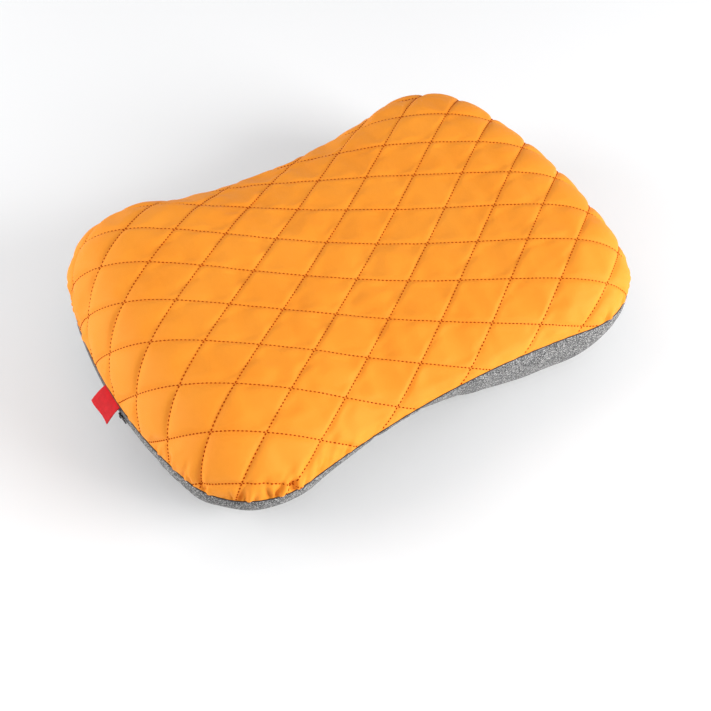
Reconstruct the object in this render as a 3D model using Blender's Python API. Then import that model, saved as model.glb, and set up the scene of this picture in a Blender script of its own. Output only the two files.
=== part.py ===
"""Inflatable camp pillow: a quilted cover with a knit underside, zipped around an air bladder.

Frame: metres, +Z up. The origin is the centre of the flat patch that the pillow rests on,
+X runs along its length, and the front long side faces -Y. The label and the zip are on the
-X end, the valve on the +X end.
"""

from math import asin, atan2, cos, degrees, pi, radians, sin, sqrt

import bmesh
import bpy
from mathutils import Matrix, Vector
from mathutils.bvhtree import BVHTree

MM = 0.001
GAP = 0.3 * MM  # between pieces that touch

# Overall size and plan outline: two bowed ends, four round corners and two waisted sides
LENGTH = 460 * MM
WIDTH = 320 * MM
HEIGHT = 120 * MM
CORNER_RADIUS = 71 * MM
END_BOW_RADIUS = 436 * MM
FRONT_WAIST = 148 * MM  # half width at the middle of the front side
BACK_WAIST = 145.5 * MM  # half width at the middle of the back side
SIDE_STEPS, CORNER_STEPS, WAIST_STEPS = 3, 5, 3  # outline segments in each quarter

# Height of the seam round the pillow, and the swell above and below it
SEAM_MIDDLE = 62.5 * MM
SEAM_AT_ENDS = 59 * MM
SEAM_AT_SIDES = 66 * MM
DOME_POWER = 0.55
END_LOBES = (1.77, 0.71)  # how much higher the two ends swell than the middle: x2 and x4 terms
SIDE_LOBES = 0.29
TILT = (-0.15, 0.23, -0.12)  # uneven filling along x, y and xy
DOME_ANGLES = (90, 78, 65, 50, 34, 17)  # rings of the dome, from the rim to near its middle
REST_SHARE = 0.78  # the flat patch underneath, as a share of the outline
PINCH_REST_SHARE = 0.52  # the same where the underside is drawn in at the long sides
PINCH_POWER = 0.62  # below 1, the underside turns in sooner below the seam
PINCH_MIDDLE = -40 * MM  # where along the length the underside is drawn in most
PINCH_TO_LEFT, PINCH_TO_RIGHT = 260 * MM, 140 * MM
PINCH_TO = 140 * MM  # the distance from the middle line where it is full
PINCH_PAST_ZIP = 12 * MM  # it starts this far past the zip's tapes, which lie flat behind the knit
BOWL_ANGLES = (0, 12, 25, 40, 57, 74, 90)  # rings of the underside, from the rim down to the flat patch
FLAT_RING = 0.4

# Cover layers, measured inwards from the outside of the pillow
FACE_THICKNESS = 0.7 * MM
WADDING_THICKNESS = 5 * MM
BACKING_THICKNESS = 0.6 * MM
KNIT_THICKNESS = 1.2 * MM
BINDING_THICKNESS = 0.8 * MM
BINDING_SHARE = 0.3  # how far up the lowest ring of the dome the binding reaches

# Bladder
SHEET_THICKNESS = 0.8 * MM
WELD_WIDTH = 4 * MM
WELD_INSET = 1.5 * MM  # from the binding to the weld's edge
SHEET_SLACK = 0.6 * MM
BLADDER_BELOW_ZIP = 0.6 * MM
BLADDER_AT_FLOOR = 1.8 * MM
TIE_X = 45 * MM
TIE_REACH = 105 * MM
TIE_STEPS = 12
TIE_CLEARANCE = 0.6 * MM

# Zip, on the curve of the -X end
ZIP_DROP = 7.5 * MM  # from the seam down to the zip's middle
ZIP_FRONT, ZIP_BACK = -29 * MM, 84 * MM
ZIP_GAP = 1.1 * MM  # between the two rows of teeth
TEETH_HEIGHT = 1.65 * MM
TEETH_THICKNESS = 1.2 * MM
TAPE_THICKNESS = 0.5 * MM
TAPE_CLEARANCE = 1.3 * MM  # between a tape's far edge and the knit in front of it
TAPE_REACH = 6.3 * MM  # from the zip's middle to a tape's far edge
TAPE_OVERLAP = 4 * MM  # the tapes run on behind the ends of the slot
PINCH_FROM = ZIP_BACK + TAPE_OVERLAP + PINCH_PAST_ZIP  # from the middle line, on both sides
SLOT_HALF_HEIGHT = 3.6 * MM
STOP_LENGTH = 2.5 * MM
SLIDER_LENGTH = 8 * MM
SLIDER_HALF_HEIGHT = 2.9 * MM
SLIDER_PLATE = 0.9 * MM
SLIDER_FRONT = 0.3 * MM  # depth of its outer face
SLIDER_REST = -16.5 * MM
BRIDGE_THICKNESS = 0.5 * MM
PIN_RADIUS = 0.45 * MM
PIN_CLEARANCE = 0.08 * MM
EYE_RADIUS = 1.0 * MM
EYE_HALF_WIDTH = 1.6 * MM
PIN_OUT = 1.0 * MM  # the pin stands this far outside the pillow's surface
PIN_Y = SLIDER_REST - 1.5 * MM
TAB_LENGTH = 9.5 * MM
TAB_THICKNESS = 0.8 * MM
TAB_WIDE, TAB_NARROW = 4.4 * MM, 1.6 * MM

# Label, folded and sewn into the seam
LABEL_FRONT, LABEL_BACK = -16.5 * MM, 10 * MM
LABEL_OUT = 13 * MM
LABEL_DROP = 11.7 * MM
LABEL_THICKNESS = 1.0 * MM

# Valve, seen along its own axis: depth is measured inwards from the cover's surface
VALVE_ANGLE = 25  # place on the underside's profile
COLLAR_RADIUS = 11.5 * MM
COLLAR_WALL = 3 * MM
COLLAR_TOP = -2.0 * MM
FLANGE_WIDTH = 5 * MM  # outside the collar
FLANGE_TOP, FLANGE_THICKNESS = -5.0 * MM, 2.0 * MM
COVER_HOLE_MARGIN = 1 * MM
WELD_CLEARANCE = 0.4 * MM
WASHER_THICKNESS = 0.6 * MM
LID_THICKNESS = 2.0 * MM
LID_PLUG_CLEARANCE = 1.1 * MM
LID_PLUG_LENGTH = 3.7 * MM
LID_LUG = 1.1 * MM  # how far the hinge lug stands out of the lid
AIR_BORE = 4.2 * MM
CAP_SETBACK = 2 * MM  # the cap is this much smaller than the lid, in radius
CAP_THICKNESS = 1.6 * MM
CAP_PLUG_CLEARANCE = 0.9 * MM
CAP_PLUG_LENGTH = 3.0 * MM
CAP_LUG = 0.8 * MM
LUG_HALF_WIDTH = 3.5 * MM
EAR_THICKNESS = 2.6 * MM
THUMB_TAB = 3 * MM
FLAP_OVERLAP, FLAP_THICKNESS = 2.0 * MM, 0.5 * MM
ROUND_STEPS = 28

FLANGE_RADIUS = COLLAR_RADIUS + FLANGE_WIDTH
COLLAR_BORE = COLLAR_RADIUS - COLLAR_WALL

COLLECTION = bpy.context.scene.collection


def material(name, srgb, roughness, metallic=0.0):
    """A plain Principled material from an sRGB colour in 0 to 255."""
    mat = bpy.data.materials.new(name)
    mat.use_nodes = True
    shader = mat.node_tree.nodes["Principled BSDF"]
    shader.inputs["Base Color"].default_value = [(c / 255) ** 2.2 for c in srgb] + [1]
    shader.inputs["Roughness"].default_value = roughness
    shader.inputs["Metallic"].default_value = metallic
    return mat


def add_object(name, bm, mat):
    """Close a bmesh into a named object with its faces pointing outwards."""
    bmesh.ops.recalc_face_normals(bm, faces=bm.faces)
    mesh = bpy.data.meshes.new(name)
    bm.to_mesh(mesh)
    bm.free()
    mesh.shade_smooth()
    mesh.set_sharp_from_angle(angle=radians(35))
    obj = bpy.data.objects.new(name, mesh)
    COLLECTION.objects.link(obj)
    if mat:
        mesh.materials.append(mat)
    return obj


def make_cutter(obj):
    obj.hide_render = True
    obj.display_type = "WIRE"
    return obj


def boolean(obj, other, operation):
    """A live Boolean whose second shape is only a guide."""
    mod = obj.modifiers.new(operation.title(), "BOOLEAN")
    mod.operation = operation
    mod.object = make_cutter(other)
    mod.solver = "EXACT"


# ---- plan outline and the pillow's two surfaces


def arc(cx, cy, radius, start, end, steps):
    """Points of an arc without its last one."""
    turn = (end - start) / steps
    return [(cx + radius * cos(start + turn * i), cy + radius * sin(start + turn * i)) for i in range(steps)]


def quarter_outline(waist):
    """From the end of +X to the middle of the +Y side: three arcs that meet in tangents."""
    half, side = LENGTH / 2, WIDTH / 2
    bow_x = half - END_BOW_RADIUS
    corner_y = side - CORNER_RADIUS
    corner_x = bow_x + sqrt((END_BOW_RADIUS - CORNER_RADIUS) ** 2 - corner_y**2)
    waist_radius = (corner_x**2 + (corner_y - waist) ** 2 - CORNER_RADIUS**2) / (2 * (side - waist))
    waist_y = waist + waist_radius
    bow_end = atan2(corner_y, corner_x - bow_x)
    corner_end = atan2(waist_y - corner_y, -corner_x)
    waist_start = atan2(corner_y - waist_y, corner_x)
    points = arc(bow_x, 0, END_BOW_RADIUS, 0, bow_end, SIDE_STEPS)
    points += arc(corner_x, corner_y, CORNER_RADIUS, bow_end, corner_end, CORNER_STEPS)
    points += arc(0, waist_y, waist_radius, waist_start, -pi / 2, WAIST_STEPS)
    return points + [(0, waist)]


def whole_outline():
    back, front = quarter_outline(BACK_WAIST), quarter_outline(FRONT_WAIST)
    points = back + [(-x, y) for x, y in back[-2::-1]]
    points += [(-x, -y) for x, y in front[1:]] + [(x, -y) for x, y in front[-2:0:-1]]
    return points


OUTLINE = whole_outline()
STATIONS = len(OUTLINE)


def outward(i):
    """Horizontal direction out of the outline at station i."""
    (x0, y0), (x1, y1) = OUTLINE[i - 1], OUTLINE[(i + 1) % STATIONS]
    return Vector((y1 - y0, x0 - x1, 0)).normalized()


def seam_height(x, y):
    u, v = 2 * x / LENGTH, 2 * y / WIDTH
    return SEAM_MIDDLE + (SEAM_AT_ENDS - SEAM_MIDDLE) * u * u + (SEAM_AT_SIDES - SEAM_MIDDLE) * v * v


def swell(share, x, y):
    """Shape of the dome above the seam, before it is scaled to the pillow's height."""
    u, v = 2 * x / LENGTH, 2 * y / WIDTH
    lobes = 1 + END_LOBES[0] * u**2 + END_LOBES[1] * u**4 + SIDE_LOBES * v**2
    return max(0.0, 1 - share**2) ** DOME_POWER * (lobes + TILT[0] * u + TILT[1] * v + TILT[2] * u * v)


def ring(share, height):
    """One ring of points: the outline shrunk to a share, at a height given by x and y."""
    return [Vector((x * share, y * share, height(x * share, y * share))) for x, y in OUTLINE]


DOME_SHARES = [sin(radians(a)) for a in DOME_ANGLES]
SWELL_SCALE = min(
    (HEIGHT - seam_height(x * s, y * s)) / swell(s, x * s, y * s) for s in DOME_SHARES[1:] for x, y in OUTLINE
)


def dome_rings():
    """Outside of the quilted top, rim first; the last entry is its middle point."""
    rings = [
        ring(s, lambda x, y, s=s: seam_height(x, y) + (0 if s == 1 else SWELL_SCALE * swell(s, x, y)))
        for s in DOME_SHARES
    ]
    return rings + [[Vector((0, 0, SEAM_MIDDLE + SWELL_SCALE * swell(0, 0, 0)))] * STATIONS]


def ease(value):
    value = min(1.0, max(0.0, value))
    return value * value * (3 - 2 * value)


def pinch(x, y):
    """1 where the underside is drawn in most, 0 at the two ends and the right lobe."""
    offset = x - PINCH_MIDDLE
    along = 1 - ease(abs(offset) / (PINCH_TO_RIGHT if offset > 0 else PINCH_TO_LEFT))
    return along * ease((abs(y) - PINCH_FROM) / (PINCH_TO - PINCH_FROM))


def bowl_ring(angle):
    """One ring of the underside, at an angle down from the seam."""
    points = []
    for x, y in OUTLINE:
        drawn = pinch(x, y)
        rest = REST_SHARE + (PINCH_REST_SHARE - REST_SHARE) * drawn
        power = 1 + (PINCH_POWER - 1) * drawn
        share = 1 - (1 - rest) * (1 - cos(radians(angle))) ** power
        point = Vector((x * share, y * share, 0))
        point.z = seam_height(point.x, point.y) * (1 - sin(radians(angle)))
        points.append(point)
    return points


def bowl_inset(drop):
    """How far the underside of an end has pulled in at a drop below the seam."""
    return (1 - REST_SHARE) * LENGTH / 2 * (1 - sqrt(1 - (drop / SEAM_AT_ENDS) ** 2))


def bowl_rings():
    """Outside of the knit underside, from the rim down and in to the middle of the flat patch."""
    rings = [bowl_ring(a) for a in BOWL_ANGLES]
    return rings + [ring(FLAT_RING, lambda x, y: 0.0), [Vector((0, 0, 0))] * STATIONS]


def inset(rings, depths, up):
    """The same rings moved inwards along the surface's normals, each by its own depth."""
    moved = []
    for k, row in enumerate(rings):
        points = []
        for i, point in enumerate(row):
            if k == 0:
                normal = outward(i)
            elif k == len(rings) - 1:
                normal = Vector((0, 0, up))
            else:
                along = row[(i + 1) % STATIONS] - row[i - 1]
                across = rings[k - 1][i] - rings[k + 1][i]
                normal = across.cross(along).normalized() * up
            points.append(point - normal * depths[k])
        moved.append(points)
    for point in moved[0]:
        point.z += up * GAP / 2
    return moved


def skin_rows(bm, rows, closed=False):
    """Triangles between rows of points; the first and last rows may be single points."""
    made = []
    for row in rows:
        single = len(row) == 1 or all((p - row[0]).length < 1e-9 for p in row)
        made.append([bm.verts.new(row[0])] if single else [bm.verts.new(p) for p in row])
    pairs = list(zip(made, made[1:]))
    if closed:
        pairs.append((made[-1], made[0]))
    for a, b in pairs:
        # every quad is split the same way, so that nested sheets keep their gap
        if sum(v.co.xy.length for v in a) / len(a) < sum(v.co.xy.length for v in b) / len(b):
            a, b = b, a
        for i in range(STATIONS):
            j = (i + 1) % STATIONS
            a0, a1, b0, b1 = a[i % len(a)], a[j % len(a)], b[i % len(b)], b[j % len(b)]
            if b1 is b0:
                bm.faces.new((a0, a1, b0))
            else:
                bm.faces.new((a0, a1, b1))
                bm.faces.new((a0, b1, b0))


def shell(name, rings, outer, inner, up, mat, rim=()):
    """A cup-shaped sheet between two depths, with any extra rows round its rim."""
    count = len(rings)
    outer = outer if isinstance(outer, list) else [outer] * count
    inner = inner if isinstance(inner, list) else [inner] * count
    bm = bmesh.new()
    skin_rows(bm, inset(rings, outer, up)[::-1] + list(rim) + inset(rings, inner, up))
    return add_object(name, bm, mat)


# ---- bars and boxes on the curve of the -X end, and turned pieces on the valve's axis

BOW_CENTRE = Vector((END_BOW_RADIUS - LENGTH / 2, 0, 0))
ZIP_Z = SEAM_AT_ENDS - ZIP_DROP


def on_bow(depth, y, z):
    """A point on the -X end: depth inwards from its curve, y along it."""
    turn = pi - asin(y / END_BOW_RADIUS)
    radius = END_BOW_RADIUS - depth
    return BOW_CENTRE + Vector((radius * cos(turn), radius * sin(turn), z))


def bow_bar(name, profile, y0, y1, mat, steps=8):
    """A profile of (depth, z) points swept along the curve of the -X end."""
    bm = bmesh.new()
    rows = [
        [bm.verts.new(on_bow(d, y0 + (y1 - y0) * k / steps, z)) for d, z in profile] for k in range(steps + 1)
    ]
    for a, b in zip(rows, rows[1:]):
        for i in range(len(profile)):
            j = (i + 1) % len(profile)
            bm.faces.new((a[i], a[j], b[j], b[i]))
    bm.faces.new(rows[0])
    bm.faces.new(rows[-1][::-1])
    return add_object(name, bm, mat)


def rectangle(d0, d1, z0, z1):
    return [(d0, z0), (d1, z0), (d1, z1), (d0, z1)]


def turned(name, profile, mat):
    """A closed profile of (radius, height) points turned about the valve's axis."""
    bm = bmesh.new()
    loops = []
    for r, h in profile:
        if r == 0:
            loops.append([bm.verts.new((0, 0, h))] * ROUND_STEPS)
        else:
            angles = [2 * pi * i / ROUND_STEPS for i in range(ROUND_STEPS)]
            loops.append([bm.verts.new((r * cos(a), r * sin(a), h)) for a in angles])
    pairs = list(zip(loops, loops[1:]))
    if profile[0][0] > 0:
        pairs.append((loops[-1], loops[0]))
    for a, b in pairs:
        for i in range(ROUND_STEPS):
            j = (i + 1) % ROUND_STEPS
            corners = [a[i], a[j], b[j], b[i]]
            corners = [v for n, v in enumerate(corners) if v not in corners[:n]]
            bm.faces.new(corners)
    return add_object(name, bm, mat)


def block(name, low, high, mat=None):
    bm = bmesh.new()
    bmesh.ops.create_cube(bm, size=1)
    size, centre = Vector(high) - Vector(low), (Vector(high) + Vector(low)) / 2
    for v in bm.verts:
        v.co = Vector(v.co[i] * size[i] for i in range(3)) + centre
    return add_object(name, bm, mat)


def valve_frame():
    """Origin on the cover's surface; local Z out of the pillow, local X up along the surface."""
    angle = radians(VALVE_ANGLE)
    reach = (1 - REST_SHARE) * LENGTH / 2
    x = LENGTH / 2 - reach * (1 - cos(angle))
    z = SEAM_AT_ENDS * (1 - sin(angle))
    out = Vector((cos(angle) / reach, 0, -sin(angle) / SEAM_AT_ENDS)).normalized()
    side = Vector((0, -1, 0))
    axes = Matrix((side.cross(out), side, out)).transposed()
    return Matrix.Translation((x, 0, z)) @ axes.to_4x4()


def place(obj, frame, pivot=Vector()):
    """Put a piece drawn in a local frame into the world, with its origin on its joint's axis."""
    obj.data.transform(Matrix.Translation(-pivot))
    obj.matrix_world = frame @ Matrix.Translation(pivot)
    return obj


# ---- the cover


def quilted_top(dome, mats):
    """Woven face, wadding and lining of the quilt, nested one inside the other."""
    depth = 0.0
    for name, thickness, mat in (
        ("quilt_face", FACE_THICKNESS, mats["quilt"]),
        ("quilt_wadding", WADDING_THICKNESS, mats["wadding"]),
        ("quilt_backing", BACKING_THICKNESS, mats["lining"]),
    ):
        shell(name, dome, depth, depth + thickness, 1, mat)
        depth += thickness + GAP
    return depth


def seam_binding(dome, depth, mat):
    """The tape that binds the raw edges inside the seam."""
    faces = []
    for d in (depth, depth + BINDING_THICKNESS):
        rows = inset(dome, [d] * len(dome), 1)
        top = [a.lerp(b, BINDING_SHARE) for a, b in zip(rows[0], rows[1])]
        faces.append((rows[0], top))
    bm = bmesh.new()
    skin_rows(bm, [faces[0][0], faces[0][1], faces[1][1], faces[1][0]], closed=True)
    add_object("seam_binding", bm, mat)
    return depth + BINDING_THICKNESS + GAP


def knit_underside(bowl, frame, mat):
    """Knit panel of the underside, with the zip's slot and the valve's hole cut out of it."""
    panel = shell("under_panel", bowl, 0.0, KNIT_THICKNESS, -1, mat)
    half = SLOT_HALF_HEIGHT
    slot_profile = rectangle(-2 * KNIT_THICKNESS, 3 * KNIT_THICKNESS, ZIP_Z - half, ZIP_Z + half)
    boolean(panel, bow_bar("slot_cutter", slot_profile, ZIP_FRONT, ZIP_BACK, None), "DIFFERENCE")
    hole = turned("hole_cutter", cylinder(FLANGE_RADIUS + COVER_HOLE_MARGIN, FLANGE_TOP, -FLANGE_TOP), None)
    boolean(panel, place(hole, frame), "DIFFERENCE")


def cylinder(radius, low, high):
    return [(0, low), (radius, low), (radius, high), (0, high)]


def side_label(mat):
    """A folded label that hangs out of the seam."""
    z = SEAM_AT_ENDS + LABEL_THICKNESS / 2
    mid_out, mid_drop = 0.55 * LABEL_OUT, 0.4 * LABEL_DROP
    profile = [
        (-GAP, z),
        (-mid_out, z - mid_drop),
        (-LABEL_OUT, z - LABEL_DROP),
        (-LABEL_OUT + LABEL_THICKNESS, z - LABEL_DROP - LABEL_THICKNESS / 2),
        (-mid_out + LABEL_THICKNESS / 2, z - mid_drop - LABEL_THICKNESS),
        (-GAP, z - LABEL_THICKNESS),
    ]
    bow_bar("side_label", profile, LABEL_FRONT, LABEL_BACK, mat, steps=4)


# ---- the zip


def zip_rows(mats):
    """Both tapes, both rows of teeth and the stops at the two ends."""
    tape = KNIT_THICKNESS + bowl_inset(ZIP_DROP + TAPE_REACH) + TAPE_CLEARANCE
    inner = tape - GAP
    outer = inner - TEETH_THICKNESS
    half = ZIP_GAP / 2
    for name, side in (("upper", 1), ("lower", -1)):
        far, teeth_far = ZIP_Z + side * TAPE_REACH, ZIP_Z + side * (half + TEETH_HEIGHT)
        near = ZIP_Z + side * half
        bow_bar(
            f"zip_tape_{name}",
            rectangle(tape, tape + TAPE_THICKNESS, near, far),
            ZIP_FRONT - TAPE_OVERLAP,
            ZIP_BACK + TAPE_OVERLAP,
            mats["tape"],
        )
        teeth = rectangle(outer, inner, near, teeth_far)
        start, end = ZIP_FRONT + STOP_LENGTH + 2 * GAP, ZIP_BACK - STOP_LENGTH - 2 * GAP
        bow_bar(f"zip_teeth_{name}", teeth, start, end, mats["teeth"])
    reach = half + TEETH_HEIGHT
    stop = rectangle(outer, inner, ZIP_Z - reach, ZIP_Z + reach)
    bow_bar("zip_stop_front", stop, ZIP_FRONT + GAP, ZIP_FRONT + STOP_LENGTH, mats["metal"], steps=1)
    bow_bar("zip_stop_back", stop, ZIP_BACK - STOP_LENGTH, ZIP_BACK - GAP, mats["metal"], steps=1)
    return tape + TAPE_THICKNESS


def slider(tape_back, mats):
    """Two plates joined by a bridge that runs between the teeth, with two ears and a pin."""
    h, b = SLIDER_HALF_HEIGHT, BRIDGE_THICKNESS / 2
    front_in = SLIDER_FRONT + SLIDER_PLATE
    back_out = tape_back + GAP
    back_in = back_out + SLIDER_PLATE
    section = [
        (SLIDER_FRONT, -h),
        (front_in, -h),
        (front_in, -b),
        (back_out, -b),
        (back_out, -h),
        (back_in, -h),
        (back_in, h),
        (back_out, h),
        (back_out, b),
        (front_in, b),
        (front_in, h),
        (SLIDER_FRONT, h),
    ]
    profile = [(d, ZIP_Z + z) for d, z in section]
    y0, y1 = SLIDER_REST - SLIDER_LENGTH / 2, SLIDER_REST + SLIDER_LENGTH / 2
    body = bow_bar("slider_body", profile, y0, y1, mats["metal"], steps=2)
    ear_in, ear_out = EYE_HALF_WIDTH + GAP, SLIDER_HALF_HEIGHT
    ears = rectangle(-PIN_OUT - 2 * PIN_RADIUS, front_in - GAP, ear_in, ear_out)
    for n, side in enumerate((1, -1)):
        points = [(d, ZIP_Z + side * z) for d, z in ears]
        ear = bow_bar(f"ear_{n}", points, PIN_Y - EYE_RADIUS, PIN_Y + EYE_RADIUS, None, steps=1)
        boolean(body, ear, "UNION")
    pin = upright("bail_pin", PIN_RADIUS, (ear_in + ear_out) / 2)
    boolean(body, pin, "UNION")
    return back_in


def upright(name, radius, half_height):
    """A short upright cylinder on the pull tab's axis."""
    bm = bmesh.new()
    bmesh.ops.create_cone(
        bm, cap_ends=True, segments=16, radius1=radius, radius2=radius, depth=2 * half_height
    )
    bmesh.ops.translate(bm, verts=bm.verts, vec=on_bow(-PIN_OUT, PIN_Y, ZIP_Z))
    return add_object(name, bm, None)


def pull_tab(mat):
    """A tapered tab whose eye turns on the slider's pin; it lies along the slider towards -Y."""
    pivot = on_bow(-PIN_OUT, PIN_Y, ZIP_Z)
    tip = on_bow(-PIN_OUT, PIN_Y - TAB_LENGTH, ZIP_Z)
    along = (tip - pivot).normalized()
    across = Vector((-along.y, along.x, 0)) * TAB_THICKNESS / 2
    start, neck = EYE_RADIUS / 2, 2.2 * EYE_RADIUS
    widths = [(start, EYE_HALF_WIDTH), (neck, EYE_HALF_WIDTH), (neck + 1.5 * MM, TAB_WIDE / 2)]
    widths += [(TAB_LENGTH - 1.5 * MM, TAB_NARROW / 2 + 0.4 * MM), (TAB_LENGTH, TAB_NARROW / 2)]
    bm = bmesh.new()
    rows = []
    for distance, half in widths:
        corners = ((-1, -half), (1, -half), (1, half), (-1, half))
        middle = pivot + along * distance
        rows.append([bm.verts.new(middle + across * s + Vector((0, 0, z))) for s, z in corners])
    for a, b in zip(rows, rows[1:]):
        for i in range(4):
            bm.faces.new((a[i], a[(i + 1) % 4], b[(i + 1) % 4], b[i]))
    bm.faces.new(rows[0])
    bm.faces.new(rows[-1][::-1])
    tab = add_object("pull_tab", bm, mat)
    boolean(tab, upright("tab_eye", EYE_RADIUS, EYE_HALF_WIDTH), "UNION")
    boolean(tab, upright("tab_bore", PIN_RADIUS + PIN_CLEARANCE, 2 * EYE_HALF_WIDTH), "DIFFERENCE")
    tab.data.transform(Matrix.Translation(-pivot))
    tab.location = pivot


# ---- the bladder


def room_under(dome, depth, height):
    """How far in from the outline a lining at this depth leaves this height free above the seam."""
    reach = 0.0
    rows = inset(dome, [depth] * len(dome), 1)
    for i in range(STATIONS):
        edge = dome[0][i]
        for below, above in zip(rows, rows[1:]):
            low, high = below[i].z - edge.z, above[i].z - edge.z
            if high >= height:
                point = below[i].lerp(above[i], max(0.0, (height - low) / (high - low)))
                reach = max(reach, (edge - point).dot(outward(i)))
                break
    return reach


def bladder(dome, bowl, dome_depth, rim_depth, slider_depth, frame, mats):
    """Two sheets welded together round a flat rim, tied across the middle, with a hole for the valve."""
    weld_room = room_under(dome, dome_depth, SHEET_THICKNESS + 2 * GAP)
    weld_edge = max(rim_depth + WELD_INSET, weld_room + GAP)
    wall = weld_edge + WELD_WIDTH
    top_depths = [wall, weld_edge] + [dome_depth + SHEET_SLACK] * (len(dome) - 2)
    side_depth = slider_depth + BLADDER_BELOW_ZIP
    low_depths = [wall] + [side_depth] * (len(BOWL_ANGLES) - 3)
    low_depths += [BLADDER_AT_FLOOR] * (len(bowl) - len(low_depths))
    sheets = []
    for name, rings, depths, up in (
        ("bladder_upper_sheet", dome, top_depths, 1),
        ("bladder_lower_sheet", bowl, low_depths, -1),
    ):
        edge = inset(rings, [weld_edge] * len(rings), up)[0]
        inner_edge = inset(rings, [wall] * len(rings), up)[0]
        lift = Vector((0, 0, up * SHEET_THICKNESS))
        # the wall's own rim point is lifted onto the weld, so the weld lies flat
        outer_rows = inset(rings, depths, up)
        outer_rows[0] = [p + lift for p in inner_edge]
        inner_rows = inset(rings, [d + SHEET_THICKNESS for d in depths], up)
        rows = outer_rows[::-1] + [[p + lift for p in edge], edge] + inner_rows
        bm = bmesh.new()
        skin_rows(bm, rows)
        sheets.append(add_object(name, bm, mats["bladder"]))
    for side, name in ((-1, "tie_strip_left"), (1, "tie_strip_right")):
        tie_strip(name, side * TIE_X, sheets, mats["bladder"])
    hole = turned("weld_cutter", cylinder(FLANGE_RADIUS + WELD_CLEARANCE, 4 * FLANGE_TOP, 0), None)
    boolean(sheets[1], place(hole, frame), "DIFFERENCE")


def tie_strip(name, x, sheets, mat):
    """An upright strip that ties the two sheets together and holds the middle down."""
    trees = []
    for sheet in sheets:
        bm = bmesh.new()
        bm.from_mesh(sheet.data)
        trees.append(BVHTree.FromBMesh(bm))
        bm.free()
    middle = SEAM_MIDDLE
    bm = bmesh.new()
    columns = []
    for k in range(TIE_STEPS + 1):
        y = -TIE_REACH + 2 * TIE_REACH * k / TIE_STEPS
        top = trees[0].ray_cast(Vector((x, y, middle)), Vector((0, 0, 1)))[0].z - TIE_CLEARANCE
        bottom = trees[1].ray_cast(Vector((x, y, middle)), Vector((0, 0, -1)))[0].z + TIE_CLEARANCE
        half = SHEET_THICKNESS / 2
        corners = ((x - half, bottom), (x + half, bottom), (x + half, top), (x - half, top))
        columns.append([bm.verts.new((cx, y, cz)) for cx, cz in corners])
    for a, b in zip(columns, columns[1:]):
        for i in range(4):
            bm.faces.new((a[i], a[(i + 1) % 4], b[(i + 1) % 4], b[i]))
    bm.faces.new(columns[0])
    bm.faces.new(columns[-1][::-1])
    add_object(name, bm, mat)


# ---- the valve, drawn with its axis along local Z and its hinges towards local +X


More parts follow.
